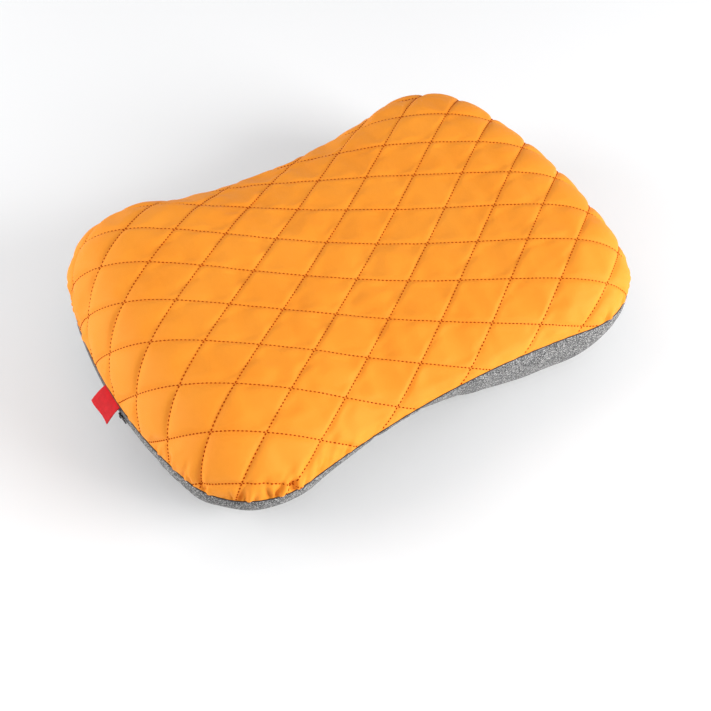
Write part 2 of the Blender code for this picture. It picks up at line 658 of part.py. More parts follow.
def valve(frame, mats):
    flange_low = FLANGE_TOP - FLANGE_THICKNESS
    base = turned(
        "valve_base",
        [
            (COLLAR_BORE, flange_low),
            (FLANGE_RADIUS, flange_low),
            (FLANGE_RADIUS, FLANGE_TOP),
            (COLLAR_RADIUS, FLANGE_TOP),
            (COLLAR_RADIUS, COLLAR_TOP),
            (COLLAR_BORE, COLLAR_TOP),
        ],
        mats["valve"],
    )
    washer_low = COLLAR_TOP + GAP
    washer_high = washer_low + WASHER_THICKNESS
    washer_in, washer_out = COLLAR_BORE - 0.2 * MM, COLLAR_RADIUS - GAP
    washer = turned(
        "valve_washer",
        [
            (washer_in, washer_low),
            (washer_out, washer_low),
            (washer_out, washer_high),
            (washer_in, washer_high),
        ],
        mats["rubber"],
    )

    lid_low = washer_high + GAP
    lid_high = lid_low + LID_THICKNESS
    plug = COLLAR_BORE - LID_PLUG_CLEARANCE
    plug_low = lid_low - LID_PLUG_LENGTH
    lid = turned(
        "valve_lid",
        [
            (AIR_BORE, plug_low),
            (plug, plug_low),
            (plug, lid_low),
            (COLLAR_RADIUS, lid_low),
            (COLLAR_RADIUS, lid_high),
            (AIR_BORE, lid_high),
        ],
        mats["valve"],
    )
    w = LUG_HALF_WIDTH
    lug_end = COLLAR_RADIUS + LID_LUG
    hinge = Vector((lug_end + GAP / 2, 0, lid_high))
    boolean(lid, block("lid_lug", (COLLAR_RADIUS - MM, -w, lid_low), (lug_end, w, lid_high)), "UNION")
    ear_start = lug_end + GAP
    ear_end = ear_start + EAR_THICKNESS
    boolean(base, block("base_ear", (ear_start, -w, FLANGE_TOP - MM), (ear_end, w, lid_high - GAP)), "UNION")

    cap_low = lid_high + GAP
    cap_high = cap_low + CAP_THICKNESS
    cap_radius = COLLAR_RADIUS - CAP_SETBACK
    cap_plug = AIR_BORE - CAP_PLUG_CLEARANCE
    cap = turned(
        "inflate_cap",
        [
            (0, cap_low - CAP_PLUG_LENGTH),
            (cap_plug, cap_low - CAP_PLUG_LENGTH),
            (cap_plug, cap_low),
            (cap_radius, cap_low),
            (cap_radius, cap_high),
            (0, cap_high),
        ],
        mats["cap"],
    )
    cap_lug_end = cap_radius + CAP_LUG
    cap_hinge = Vector((cap_lug_end + GAP / 2, 0, cap_high))
    cap_lug = block("cap_lug", (cap_radius - MM, -w, cap_low), (cap_lug_end, w, cap_high))
    boolean(cap, cap_lug, "UNION")
    thumb_low = (-cap_radius - THUMB_TAB, -w / 2, cap_low)
    thumb = block("cap_thumb", thumb_low, (-cap_radius + MM, w / 2, cap_high))
    boolean(cap, thumb, "UNION")
    lid_ear = block(
        "lid_ear",
        (cap_lug_end + GAP, -w, lid_high - MM / 2),
        (COLLAR_RADIUS - 0.1 * MM, w, cap_high - GAP),
    )
    boolean(lid, lid_ear, "UNION")

    flap_high, flap_radius = plug_low - GAP, AIR_BORE + FLAP_OVERLAP
    flap = turned("check_flap", cylinder(flap_radius, flap_high - FLAP_THICKNESS, flap_high), mats["rubber"])
    flap_hinge = Vector((flap_radius, 0, flap_high))

    for piece in (base, washer):
        place(piece, frame)
    for guide in ("lid_lug", "base_ear", "cap_lug", "cap_thumb", "lid_ear"):
        place(bpy.data.objects[guide], frame)
    place(lid, frame, hinge)
    place(cap, frame, cap_hinge)
    place(flap, frame, flap_hinge)
    for name, point in (("lid", hinge), ("cap", cap_hinge), ("flap", flap_hinge)):
        print(name, "hinge at", [round(c, 6) for c in frame @ point])


def main():
    for obj in list(bpy.data.objects):
        bpy.data.objects.remove(obj)
    mats = {
        "quilt": material("quilt_face", (254, 158, 57), 0.7),
        "wadding": material("wadding", (240, 238, 232), 0.95),
        "lining": material("lining", (230, 140, 60), 0.85),
        "knit": material("knit", (158, 158, 160), 0.92),
        "binding": material("binding", (90, 90, 92), 0.9),
        "label": material("label", (205, 14, 28), 0.75),
        "tape": material("zip_tape", (24, 24, 26), 0.85),
        "teeth": material("zip_teeth", (20, 20, 22), 0.45),
        "metal": material("slider_metal", (30, 30, 32), 0.4, 0.8),
        "bladder": material("bladder_film", (205, 208, 210), 0.4),
        "valve": material("valve_plastic", (60, 62, 66), 0.45),
        "cap": material("cap_plastic", (215, 95, 35), 0.45),
        "rubber": material("valve_rubber", (25, 25, 26), 0.7),
    }
    dome, bowl, frame = dome_rings(), bowl_rings(), valve_frame()
    dome_depth = quilted_top(dome, mats)
    rim_depth = seam_binding(dome, dome_depth, mats["binding"])
    knit_underside(bowl, frame, mats["knit"])
    side_label(mats["label"])
    tape_back = zip_rows(mats)
    slider_depth = slider(tape_back, mats)
    pull_tab(mats["metal"])
    bladder(dome, bowl, dome_depth, rim_depth, slider_depth, frame, mats)
    valve(frame, mats)
    tab_pin = on_bow(-PIN_OUT, PIN_Y, ZIP_Z)
    print("zip axis at", [round(c, 6) for c in BOW_CENTRE], "tab pin at", [round(c, 6) for c in tab_pin])
    travel = ZIP_BACK - STOP_LENGTH - (SLIDER_REST + SLIDER_LENGTH / 2) - GAP
    print("slider travel, degrees", round(degrees(travel / END_BOW_RADIUS), 3))
    print("swell scale", round(SWELL_SCALE, 6), "outline points", STATIONS)


main()
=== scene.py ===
# %% [markdown]
# # An inflatable camp pillow
# The pillow is an air bladder in a zipped cover. The top of the cover is an orange shell quilted in
# diamonds, the sides and underside are a grey marled knit, and a red label is folded into the seam of one
# end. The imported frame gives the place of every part. This script makes the soft and fine surfaces around
# it.

# %% Load the frame
from math import asin, atan2, cos, pi, radians, sin, sqrt

import bmesh
import bpy
import numpy as np
from mathutils import Matrix, Vector
from mathutils.bvhtree import BVHTree
from mathutils.kdtree import KDTree


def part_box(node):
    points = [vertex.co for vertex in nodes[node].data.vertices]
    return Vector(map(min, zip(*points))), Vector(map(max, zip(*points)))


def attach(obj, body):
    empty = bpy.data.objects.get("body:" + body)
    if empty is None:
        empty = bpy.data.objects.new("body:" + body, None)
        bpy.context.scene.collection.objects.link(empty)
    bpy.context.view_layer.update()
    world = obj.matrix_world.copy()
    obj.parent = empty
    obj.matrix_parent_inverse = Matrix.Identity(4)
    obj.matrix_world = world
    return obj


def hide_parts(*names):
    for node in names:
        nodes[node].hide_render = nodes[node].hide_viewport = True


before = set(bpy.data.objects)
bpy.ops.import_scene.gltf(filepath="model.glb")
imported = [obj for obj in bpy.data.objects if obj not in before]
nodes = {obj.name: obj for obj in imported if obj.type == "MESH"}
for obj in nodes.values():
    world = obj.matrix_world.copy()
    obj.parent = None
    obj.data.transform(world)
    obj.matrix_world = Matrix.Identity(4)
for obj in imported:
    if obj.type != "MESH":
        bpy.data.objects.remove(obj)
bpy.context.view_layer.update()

MM = 0.001

# %% [markdown]
# ## Camera, floor and light
# A long lens from above the front left corner shows the top, the label and the front side together. The
# camera is set first, because every later look at the model depends on it. Its axes are worked out from
# three angles, so that the roll is a number that can be read.

# %% The camera
AZIMUTH, ELEVATION, ROLL = radians(-33.8), radians(48.5), radians(1.29)
DISTANCE = 1014.5 * MM
LOOK_AT = Vector((0, 0, 60 * MM))
LENS, SENSOR = 58.68, 36

back = Vector((sin(AZIMUTH) * cos(ELEVATION), -cos(AZIMUTH) * cos(ELEVATION), sin(ELEVATION)))
right = Vector((cos(AZIMUTH), sin(AZIMUTH), 0))
up = back.cross(right)
rolled_right = right * cos(ROLL) + up * sin(ROLL)
rolled_up = up * cos(ROLL) - right * sin(ROLL)

bpy.ops.object.camera_add(location=LOOK_AT + back * DISTANCE)
camera = bpy.context.object
camera.rotation_euler = Matrix((rolled_right, rolled_up, back)).transposed().to_euler()
camera.data.lens = LENS
camera.data.sensor_width = SENSOR
camera.data.shift_x, camera.data.shift_y = 0.0067, -0.1075
bpy.context.scene.camera = camera
print("camera at", [round(c, 3) for c in camera.location])

# %% [markdown]
# The light is a large soft panel on the right, weaker ones behind and on the left, and a bright even room.
# The two side panels are low, so that the slopes glow more than the middle does.

# %% Floor and lights
FLOOR_SIZE = 8.0
FLOOR_DROP = 0.2 * MM  # the floor lies this much under the part, so that the two faces don't flicker


def area_light(name, direction, distance, size, power, colour=(1, 1, 1)):
    """A square soft box that looks at the pillow from a direction."""
    place = Vector(direction).normalized() * distance
    bpy.ops.object.light_add(type="AREA", location=place, rotation=place.to_track_quat("Z", "Y").to_euler())
    lamp = bpy.context.object
    lamp.name = name
    lamp.data.size = size
    lamp.data.energy = power
    lamp.data.color = colour
    return lamp


bpy.ops.mesh.primitive_plane_add(size=FLOOR_SIZE, location=(0, 0, -FLOOR_DROP))
floor = bpy.context.object
floor.name = "floor"
area_light("key_panel", (0.66, -0.85, 0.43), 1.9, 1.1, 40)
area_light("back_panel", (-0.3, 0.9, 1.2), 2.2, 1.4, 3)
area_light("left_panel", (-0.95, 0.5, 0.40), 1.9, 1.2, 23)
world = bpy.data.worlds.new("studio")
bpy.context.scene.world = world
world.use_nodes = True
world.node_tree.nodes["Background"].inputs["Color"].default_value = (0.97, 0.98, 1.0, 1)
world.node_tree.nodes["Background"].inputs["Strength"].default_value = 0.52
bpy.context.scene.view_settings.view_transform = "Standard"

# %% [markdown]
# ## Helpers
# Materials here are small node trees. A helper adds one node and links its inputs in one call, so each
# finish below reads as a list of layers. Patterns are in metres: they read either Object coordinates or the
# piece's own cloth map, which holds the place of each point on the flat cloth.

# %% Helpers for materials


def new_finish(name, colour, roughness, **sockets):
    """A material with a Principled shader, and the constant values set on the shader itself."""
    material = bpy.data.materials.new(name)
    material.use_nodes = True
    shader = material.node_tree.nodes["Principled BSDF"]
    shader.inputs["Base Color"].default_value = (*colour, 1)
    shader.inputs["Roughness"].default_value = roughness
    for socket, value in sockets.items():
        shader.inputs[socket.replace("_", " ")].default_value = value
    return material


def add_node(material, kind, inputs=None, **settings):
    """Adds a node, sets its settings, and sets or links its inputs."""
    node = material.node_tree.nodes.new(kind)
    for name, value in settings.items():
        setattr(node, name, value)
    for name, value in (inputs or {}).items():
        if isinstance(value, bpy.types.NodeSocket):
            material.node_tree.links.new(value, node.inputs[name])
        else:
            node.inputs[name].default_value = value
    return node


def to_shader(material, socket, value):
    shader = material.node_tree.nodes["Principled BSDF"]
    material.node_tree.links.new(value, shader.inputs[socket])


def object_place(material):
    return add_node(material, "ShaderNodeTexCoord").outputs["Object"]


def cloth_place(material):
    return add_node(material, "ShaderNodeUVMap", uv_map="cloth").outputs["UV"]


def noise(material, place, pitch, detail=2.0, roughness=0.5, stretch=(1, 1, 1)):
    """Noise whose features are about one pitch apart, in metres."""
    scaled = add_node(material, "ShaderNodeMapping", {"Vector": place, "Scale": [s / pitch for s in stretch]})
    settings = {"Vector": scaled.outputs[0], "Scale": 1.0, "Detail": detail, "Roughness": roughness}
    return add_node(material, "ShaderNodeTexNoise", settings).outputs["Fac"]


def ramp(material, value, *stops):
    """A colour ramp from (position, colour) stops."""
    node = add_node(material, "ShaderNodeValToRGB", {"Fac": value})
    elements = node.color_ramp.elements
    while len(elements) < len(stops):
        elements.new(0.5)
    for element, (position, colour) in zip(elements, stops):
        element.position = position
        element.color = (*colour, 1)
    return node.outputs["Color"]


def two_tone(material, value, dark, light):
    """The base colour: a pattern that runs between two close tones."""
    to_shader(material, "Base Color", ramp(material, value, (0.3, dark), (0.7, light)))


def math(material, operation, a, b=0.0):
    return add_node(material, "ShaderNodeMath", {0: a, 1: b}, operation=operation).outputs[0]


def stripes(material, place, axis, pitch):
    """A smooth 0 to 1 ridge every pitch metres along one axis of a place."""
    split = add_node(material, "ShaderNodeSeparateXYZ", {0: place})
    wave = math(material, "SINE", math(material, "MULTIPLY", split.outputs[axis], 2 * pi / pitch))
    return math(material, "MULTIPLY_ADD", wave, 0.5)


def bump(material, height, distance, under=None):
    """Bump of a real depth in metres, laid over another one."""
    inputs = {"Height": height, "Distance": distance, "Strength": 1.0}
    if under:
        inputs["Normal"] = under
    return add_node(material, "ShaderNodeBump", inputs).outputs[0]


# %% Helpers for meshes


def new_object(name, points, faces, smooth=True):
    """A named object from points and faces, with its place in its mesh."""
    mesh = bpy.data.meshes.new(name)
    mesh.from_pydata([tuple(map(float, p)) for p in points], [], [tuple(map(int, f)) for f in faces])
    mesh.validate()
    if smooth:
        mesh.shade_smooth()
    made = bpy.data.objects.new(name, mesh)
    bpy.context.scene.collection.objects.link(made)
    return made


def band_faces(rings, sides, first=0, closed=False):
    """Quads between rings of points that follow each other, and from the last ring to the first if closed."""
    faces = []
    for n in range(rings if closed else rings - 1):
        near, far = first + n * sides, first + (n + 1) % rings * sides
        for m in range(sides):
            k = (m + 1) % sides
            faces.append((near + m, near + k, far + k, far + m))
    return faces


def bar_faces(rings, sides, first=0):
    """The quads along a bar of rings, and a face at each of its two ends."""
    last = first + (rings - 1) * sides
    caps = [tuple(range(first, first + sides))[::-1], tuple(range(last, last + sides))]
    return band_faces(rings, sides, first) + caps


def make_active(piece):
    """Selects one object alone, as the operators expect."""
    bpy.ops.object.select_all(action="DESELECT")
    piece.select_set(True)
    bpy.context.view_layer.objects.active = piece


def apply_all(piece):
    make_active(piece)
    for modifier in list(piece.modifiers):
        bpy.ops.object.modifier_apply(modifier=modifier.name)


def turn_outwards(piece):
    """Makes every face of a closed piece point out."""
    make_active(piece)
    bpy.ops.object.mode_set(mode="EDIT")
    bpy.ops.mesh.select_all(action="SELECT")
    bpy.ops.mesh.normals_make_consistent(inside=False)
    bpy.ops.object.mode_set(mode="OBJECT")


def set_material(piece, material):
    piece.data.materials.clear()
    piece.data.materials.append(material)


def settle(piece, body, slot, *stands_for):
    """Every finished piece rides on its body and may stand for CAD nodes, which are hidden. The slot is not
    used.
    """
    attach(piece, body)
    if stands_for:
        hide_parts(*stands_for)
    count = sum(len(p.vertices) - 2 for p in piece.data.polygons)
    print(piece.name, "on", body, "with", count, "triangles")


def points_of(piece):
    flat = np.empty(len(piece.data.vertices) * 3)
    piece.data.vertices.foreach_get("co", flat)
    return flat.reshape(-1, 3)


def set_points(piece, points):
    piece.data.vertices.foreach_set("co", np.asarray(points, dtype=np.float32).ravel())
    piece.data.update()


# %% [markdown]
# ## The shape of the pillow
# The plan outline is tangent arcs: two bowed ends, four round corners and two waisted sides. The seam runs
# round it at about half the height. Above it the dome swells more at the two ends than in the middle, where
# the ties inside the bladder hold it down. These are formulas, so every layer can be made from the same
# shape.

# %% Outline and seam
panel_low, panel_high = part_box("under_panel")
LENGTH = panel_high.x - panel_low.x
WIDTH = 320 * MM
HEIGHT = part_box("quilt_face")[1].z
CORNER_RADIUS, END_BOW_RADIUS = 71 * MM, 436 * MM
FRONT_WAIST, BACK_WAIST = 148 * MM, 145.5 * MM
SEAM_MIDDLE, SEAM_AT_ENDS, SEAM_AT_SIDES = 62.5 * MM, 59 * MM, 66 * MM
REST_SHARE = 0.78


def arc(centre_x, centre_y, radius, start, end, steps):
    angle = np.linspace(start, end, steps, endpoint=False)
    return np.c_[centre_x + radius * np.cos(angle), centre_y + radius * np.sin(angle)]


def quarter(waist, steps=40):
    """From the end of +X to the middle of the +Y side."""
    bow_x = LENGTH / 2 - END_BOW_RADIUS
    corner_y = WIDTH / 2 - CORNER_RADIUS
    corner_x = bow_x + sqrt((END_BOW_RADIUS - CORNER_RADIUS) ** 2 - corner_y**2)
    rise = corner_x**2 + (corner_y - waist) ** 2 - CORNER_RADIUS**2
    waist_radius = rise / (2 * (WIDTH / 2 - waist))
    waist_y = waist + waist_radius
    bow_end = atan2(corner_y, corner_x - bow_x)
    corner_end = atan2(waist_y - corner_y, -corner_x)
    return np.r_[
        arc(bow_x, 0, END_BOW_RADIUS, 0, bow_end, steps),
        arc(corner_x, corner_y, CORNER_RADIUS, bow_end, corner_end, steps),
        arc(0, waist_y, waist_radius, atan2(corner_y - waist_y, corner_x), -pi / 2, steps),
        [(0, waist)],
    ]


back_quarter, front_quarter = quarter(BACK_WAIST), quarter(FRONT_WAIST)
outline = np.r_[
    back_quarter,
    back_quarter[-2::-1] * (-1, 1),
    front_quarter[1:] * (-1, -1),
    front_quarter[-2:0:-1] * (1, -1),
]
outline_angle = np.unwrap(np.arctan2(outline[:, 1], outline[:, 0]))
outline_reach = np.hypot(outline[:, 0], outline[:, 1])


def reach_at(angle):
    """Distance from the middle to the outline in a direction."""
    return np.interp(np.asarray(angle) % (2 * pi), outline_angle, outline_reach, period=2 * pi)


def seam_height(x, y):
    u, v = 2 * x / LENGTH, 2 * y / WIDTH
    return SEAM_MIDDLE + (SEAM_AT_ENDS - SEAM_MIDDLE) * u**2 + (SEAM_AT_SIDES - SEAM_MIDDLE) * v**2


perimeter = np.hypot(*(np.roll(outline, -1, 0) - outline).T).sum()
print("outline", len(outline), "points, seam length in mm", round(perimeter / MM))

# %% The dome above the seam
DOME_POWER = 0.55
END_LOBES = (1.77, 0.71)
SIDE_LOBES = 0.29
TILT = (-0.15, 0.23, -0.12)


def swell(share, x, y):
    u, v = 2 * x / LENGTH, 2 * y / WIDTH
    lobes = 1 + END_LOBES[0] * u**2 + END_LOBES[1] * u**4 + SIDE_LOBES * v**2
    return np.clip(1 - share**2, 0, 1) ** DOME_POWER * (lobes + TILT[0] * u + TILT[1] * v + TILT[2] * u * v)


ring_share = np.sin(np.linspace(0, pi / 2, 120))[:-1]
trial_x, trial_y = (np.outer(ring_share, column) for column in outline.T)
SWELL_SCALE = ((HEIGHT - seam_height(trial_x, trial_y)) / swell(ring_share[:, None], trial_x, trial_y)).min()


def dome_height(x, y):
    share = np.hypot(x, y) / reach_at(np.arctan2(y, x))
    return seam_height(x, y) + SWELL_SCALE * swell(share, x, y)


middle_height = float(dome_height(0.0, 0.0))
print("swell scale in mm", round(SWELL_SCALE / MM, 2), "middle in mm", round(middle_height / MM, 1))

# %% [markdown]
# The dome stands almost upright where it meets the seam, so a plan view would crowd its points there. It is
# unrolled instead: a chart gives every point its distance from the middle measured over the surface. A mesh
# that is even on the chart is then even on the dome too.

# %% The chart of the dome
CHART_ANGLES = np.linspace(0, 2 * pi, 361)
CHART_STEPS = 160


def radial_chart():
    """For each direction: the length over the dome to the seam, and the share at even steps of it."""
    fine = np.sin(np.linspace(0, pi / 2, 240))
    x = np.outer(reach_at(CHART_ANGLES) * np.cos(CHART_ANGLES), fine)
    y = np.outer(reach_at(CHART_ANGLES) * np.sin(CHART_ANGLES), fine)
    z = seam_height(x, y) + SWELL_SCALE * swell(fine[None, :], x, y)
    steps = np.sqrt(np.diff(x, axis=1) ** 2 + np.diff(y, axis=1) ** 2 + np.diff(z, axis=1) ** 2)
    run = np.c_[np.zeros(len(x)), steps.cumsum(axis=1)]
    even = np.linspace(0, 1, CHART_STEPS + 1)
    return run[:, -1], np.array([np.interp(even * row[-1], row, fine) for row in run])


chart_length, chart_share = radial_chart()


def on_dome(chart):
    """Points on the dome from chart points, held at the seam, and the length left to the seam."""
    angle = np.arctan2(chart[:, 1], chart[:, 0]) % (2 * pi)
    far = np.hypot(chart[:, 0], chart[:, 1])
    column = angle / (2 * pi) * (len(CHART_ANGLES) - 1)
    low = np.minimum(column.astype(int), len(CHART_ANGLES) - 2)
    side = column - low
    length = chart_length[low] * (1 - side) + chart_length[low + 1] * side
    step = np.clip(far / length, 0, 1) * CHART_STEPS
    inner = np.minimum(step.astype(int), CHART_STEPS - 1)
    part = step - inner
    near = chart_share[low, inner] * (1 - side) + chart_share[low + 1, inner] * side
    next_one = chart_share[low, inner + 1] * (1 - side) + chart_share[low + 1, inner + 1] * side
    share = near * (1 - part) + next_one * part
    x, y = share * reach_at(angle) * np.cos(angle), share * reach_at(angle) * np.sin(angle)
    z = seam_height(x, y) + SWELL_SCALE * swell(share, x, y)
    return np.c_[x, y, z], length - far


def dome_normals(chart, step=0.6 * MM):
    """Outward directions, from small steps on the chart."""
    along = on_dome(chart + (step, 0))[0] - on_dome(chart - (step, 0))[0]
    across = on_dome(chart + (0, step))[0] - on_dome(chart - (0, step))[0]
    normal = np.cross(along, across)
    return normal / np.linalg.norm(normal, axis=1)[:, None]


print("length over the dome in mm", round(chart_length.min() / MM), "to", round(chart_length.max() / MM))

# %% [markdown]
# ## The quilting pattern
# The shell, wadding and lining were quilted flat, in two sets of straight parallel rows that cross in
# diamonds, and then cut and sewn. So the rows are straight on the flat cloth and only bend where the cloth
# does. Each crossing is placed on the flat cloth first and then found on the dome by its lengths over the
# surface along X and along Y. The search moves each chart point by what it misses, until its lengths are
# right.

# %% Flat cloth to dome
DIAMOND_SIDE = 42.9 * MM
ROW_ANGLE_A, ROW_ANGLE_B = radians(33.8), radians(32.2)
CROSSING = np.array((-14.0 * MM, -30.7 * MM))  # the crossing nearest the middle of the front half
CLOTH_REACH = (300 * MM, 235 * MM)  # half axes of an ellipse that holds the whole panel
ALONG_A = DIAMOND_SIDE * np.array((cos(ROW_ANGLE_B), -sin(ROW_ANGLE_B)))
ALONG_B = -DIAMOND_SIDE * np.array((cos(ROW_ANGLE_A), sin(ROW_ANGLE_A)))


def flat_cloth(a, b):
    """Place on the flat cloth of a point of the diamond pattern, counted in diamonds from the crossing."""
    return CROSSING + np.outer(a, ALONG_A) + np.outer(b, ALONG_B)


def may_reach(cloth):
    """Which points of the flat cloth are near enough to land on the pillow."""
    return np.hypot(cloth[:, 0] / CLOTH_REACH[0], cloth[:, 1] / CLOTH_REACH[1]) < 1


def lengths_over(points, parts=22):
    """Length over the dome along X and along Y, from the pillow's two middle planes."""
    spread = 1 - (1 - np.linspace(0, 1, parts)) ** 2
    x, y = points[:, :1], points[:, 1:2]
    result = []
    for px, py, end in ((x * spread, y + 0 * spread, x), (x + 0 * spread, y * spread, y)):
        moved = np.hypot(np.diff(px if end is x else py, axis=1), np.diff(dome_height(px, py), axis=1))
        result.append(moved.sum(axis=1) * np.sign(end[:, 0]))
    return np.array(result).T


def find_on_chart(cloth, rounds=9):
    chart = cloth.copy()
    for _ in range(rounds):
        points, left = on_dome(chart)
        reached = lengths_over(points)
        outside = np.clip(-left, 0, None) / np.maximum(np.hypot(*chart.T), MM)
        reached = reached + chart * outside[:, None]
        chart = chart + 0.9 * (cloth - reached)
    return chart


miss = find_on_chart(flat_cloth(np.zeros(1), np.zeros(1)))
print("the crossing lies at", np.round(on_dome(miss)[0][0] / MM, 1), "mm")

# %% [markdown]
# The mesh follows the rows, so that every stitched row is a line of mesh edges and can be held down
# exactly. Cells are smaller beside the rows, where the cloth bends most. Cells that cross the seam are
# trimmed to it: points close to the seam are moved onto it, and longer edges are cut where they cross it.

# %% The mesh of the quilt
CELLS = 9  # mesh cells along each side of a diamond
CROWDING = 0.055  # how much the cells crowd towards the rows
SNAP = 0.32  # points nearer to the seam than this share of a cell move onto it
MERGE = 0.8 * MM  # rim points closer than this become one
REACH_A, REACH_B = (-9, 9), (-8, 8)  # rows counted from the crossing, past every edge


def row_steps(first, last):
    """Pattern coordinates of the mesh lines between two rows, and which of them are rows."""
    steps = np.arange((last - first) * CELLS + 1)
    return first + steps / CELLS - CROWDING * np.sin(2 * pi * steps / CELLS), steps % CELLS == 0


def trimmed_quilt():
    """Chart points, pattern coordinates, faces and a mark for the rows and the rim."""
    a_steps, a_rows = row_steps(*REACH_A)
    b_steps, b_rows = row_steps(*REACH_B)
    a, b = (grid.ravel() for grid in np.meshgrid(a_steps, b_steps, indexing="ij"))
    on_row = (a_rows[:, None] | b_rows[None, :]).ravel()
    cloth = flat_cloth(a, b)
    near = may_reach(cloth)
    chart = cloth.copy()
    chart[near] = find_on_chart(cloth[near])
    left = np.where(near, on_dome(chart)[1], -1.0)
    rim = np.abs(left) < SNAP * DIAMOND_SIDE / CELLS
    length = np.hypot(*chart[rim].T)
    chart[rim] *= ((length + left[rim]) / length)[:, None]
    inside = (left > 0) | rim
    charts, patterns, rows, rims = list(chart), list(np.c_[a, b]), list(on_row), list(rim)
    cuts = {}

    def cut(i, j):
        """The point where an edge from inside to outside crosses the seam."""
        key = (min(i, j), max(i, j))
        if key not in cuts:
            share = left[i] / (left[i] - left[j])
            point = charts[i] + (charts[j] - charts[i]) * share
            rest = on_dome(point[None])[1][0]
            length = np.hypot(*point)
            charts.append(point * (length + rest) / length)
            patterns.append(patterns[i] + (patterns[j] - patterns[i]) * share)
            rows.append(rows[i] and rows[j])
            rims.append(True)
            cuts[key] = len(charts) - 1
        return cuts[key]

    faces, width = [], len(b_steps)
    for i in range(len(a_steps) - 1):
        for j in range(width - 1):
            ring = (i * width + j, (i + 1) * width + j, (i + 1) * width + j + 1, i * width + j + 1)
            if not any(inside[k] and not rim[k] for k in ring):
                continue
            face = []
            for k, m in zip(ring, ring[1:] + ring[:1]):
                if inside[k]:
                    face.append(k)
                if inside[k] != inside[m] and not rim[k] and not rim[m]:
                    face.append(cut(k, m) if inside[k] else cut(m, k))
            if len(face) > 2:
                faces.append(face)
    tree = KDTree(len(charts))
    for k, chart_point in enumerate(charts):
        if rims[k]:
            tree.insert((*chart_point, 0), k)
    tree.balance()
    merged = {
        k: min(n for _, n, _ in tree.find_range((*charts[k], 0), MERGE))
        for k in range(len(charts))
        if rims[k]
    }
    faces = [[merged.get(k, k) for k in face] for face in faces]
    faces = [[k for n, k in enumerate(face) if k != face[n - 1]] for face in faces]
    faces = [face for face in faces if len(set(face)) == len(face) > 2]
    used = sorted({k for face in faces for k in face})
    renumber = {k: n for n, k in enumerate(used)}
    faces = [[renumber[k] for k in face] for face in faces]
    return (
        np.array([charts[k] for k in used]),
        np.array([patterns[k] for k in used]),
        faces,
        np.array([rows[k] for k in used]),
        np.array([rims[k] for k in used]),
    )


quilt_chart, quilt_pattern, quilt_faces, quilt_rows, quilt_rim = trimmed_quilt()
quilt_points, quilt_left = on_dome(quilt_chart)
quilt_normals = dome_normals(quilt_chart)
quilt_faces = [face[::-1] for face in quilt_faces]  # the pattern's two axes are left-handed seen from above
print("quilt mesh", len(quilt_points), "points", len(quilt_faces), "faces", quilt_rim.sum(), "on the rim")

# %% [markdown]
# ## Puffed diamonds
# Wadding pushes the shell out between the rows, and the thread holds it down along them. A bump map could
# fake that, but the puffs also shape the pillow's outline. So the mesh starts with shallow valleys along
# the rows, the rows and the rim are pinned, and a cloth simulation with air pressure and slightly loose
# cloth lets each diamond settle into its own puff with its own small creases.

# %% Start shape and simulation
VALLEY = 1.8 * MM
PUFF = 1.1 * MM
RIM_FADE = 13 * MM
TUCK = 1.2 * MM  # the seam pulls the cloth in by this much
TUCK_REACH = 3.5 * MM
LOOSENESS = 0.035
PRESSURE = 5.0
FRAMES = 18


def ease(value):
    value = np.clip(value, 0, 1)
    return value * value * (3 - 2 * value)


def puff_share(pattern):
    """0 on the rows, 1 in the middle of a diamond."""
    return np.abs(np.sin(pi * pattern[:, 0]) * np.sin(pi * pattern[:, 1])) ** 0.5


def start_height(pattern, left):
    share, rim = puff_share(pattern), ease(left / RIM_FADE)
    tuck = TUCK * np.exp(-np.clip(left, 0, None) / TUCK_REACH)
    return -VALLEY * rim * (1 - share) + PUFF * share * rim - tuck


def simulate(piece, pinned):
    """Lets the cloth settle round its pinned points, and applies the result."""
    group = piece.vertex_groups.new(name="sewn")
    group.add([int(i) for i in np.flatnonzero(pinned)], 1.0, "REPLACE")
    make_active(piece)
    modifier = piece.modifiers.new("Cloth", "CLOTH")
    cloth = modifier.settings
    cloth.quality = 6
    cloth.mass = 0.12
    cloth.tension_stiffness = cloth.compression_stiffness = 16
    cloth.shear_stiffness = 6
    cloth.bending_stiffness = 0.25
    cloth.air_damping = 2.0
    cloth.vertex_group_mass = "sewn"
    cloth.shrink_min = -LOOSENESS
    cloth.use_pressure = True
    cloth.uniform_pressure_force = PRESSURE
    cloth.effector_weights.gravity = 0
    modifier.collision_settings.use_collision = False
    scene = bpy.context.scene
    scene.frame_start = 1
    for number in range(1, FRAMES + 1):
        scene.frame_set(number)
    bpy.ops.object.modifier_apply(modifier=modifier.name)
    scene.frame_set(1)
    piece.vertex_groups.clear()


start_points = quilt_points + quilt_normals * start_height(quilt_pattern, quilt_left)[:, None]
quilt = new_object("quilt_cover", start_points, quilt_faces)
simulate(quilt, quilt_rows | quilt_rim)
MOST_OUT, MOST_IN = 3.2 * MM, 3.0 * MM
moved = points_of(quilt) - quilt_points
outwards = (moved * quilt_normals).sum(axis=1)
sideways = moved - outwards[:, None] * quilt_normals
limited = np.clip(outwards, -MOST_IN, MOST_OUT)
settled_points = quilt_points + sideways * 0.8 + limited[:, None] * quilt_normals
set_points(quilt, settled_points)
middles = puff_share(quilt_pattern) > 0.95
print("puffs stand out in mm", round(limited[middles].mean() / MM, 2))
print("rows stand out in mm", round(limited[quilt_rows].mean() / MM, 2))

# %% [markdown]
# One subdivision doubles the detail. The pattern, the flat cloth and the distance to the seam are kept as
# attributes first, because the subdivision carries them along, and the fine steps below read them again.

# %% Attributes and subdivision


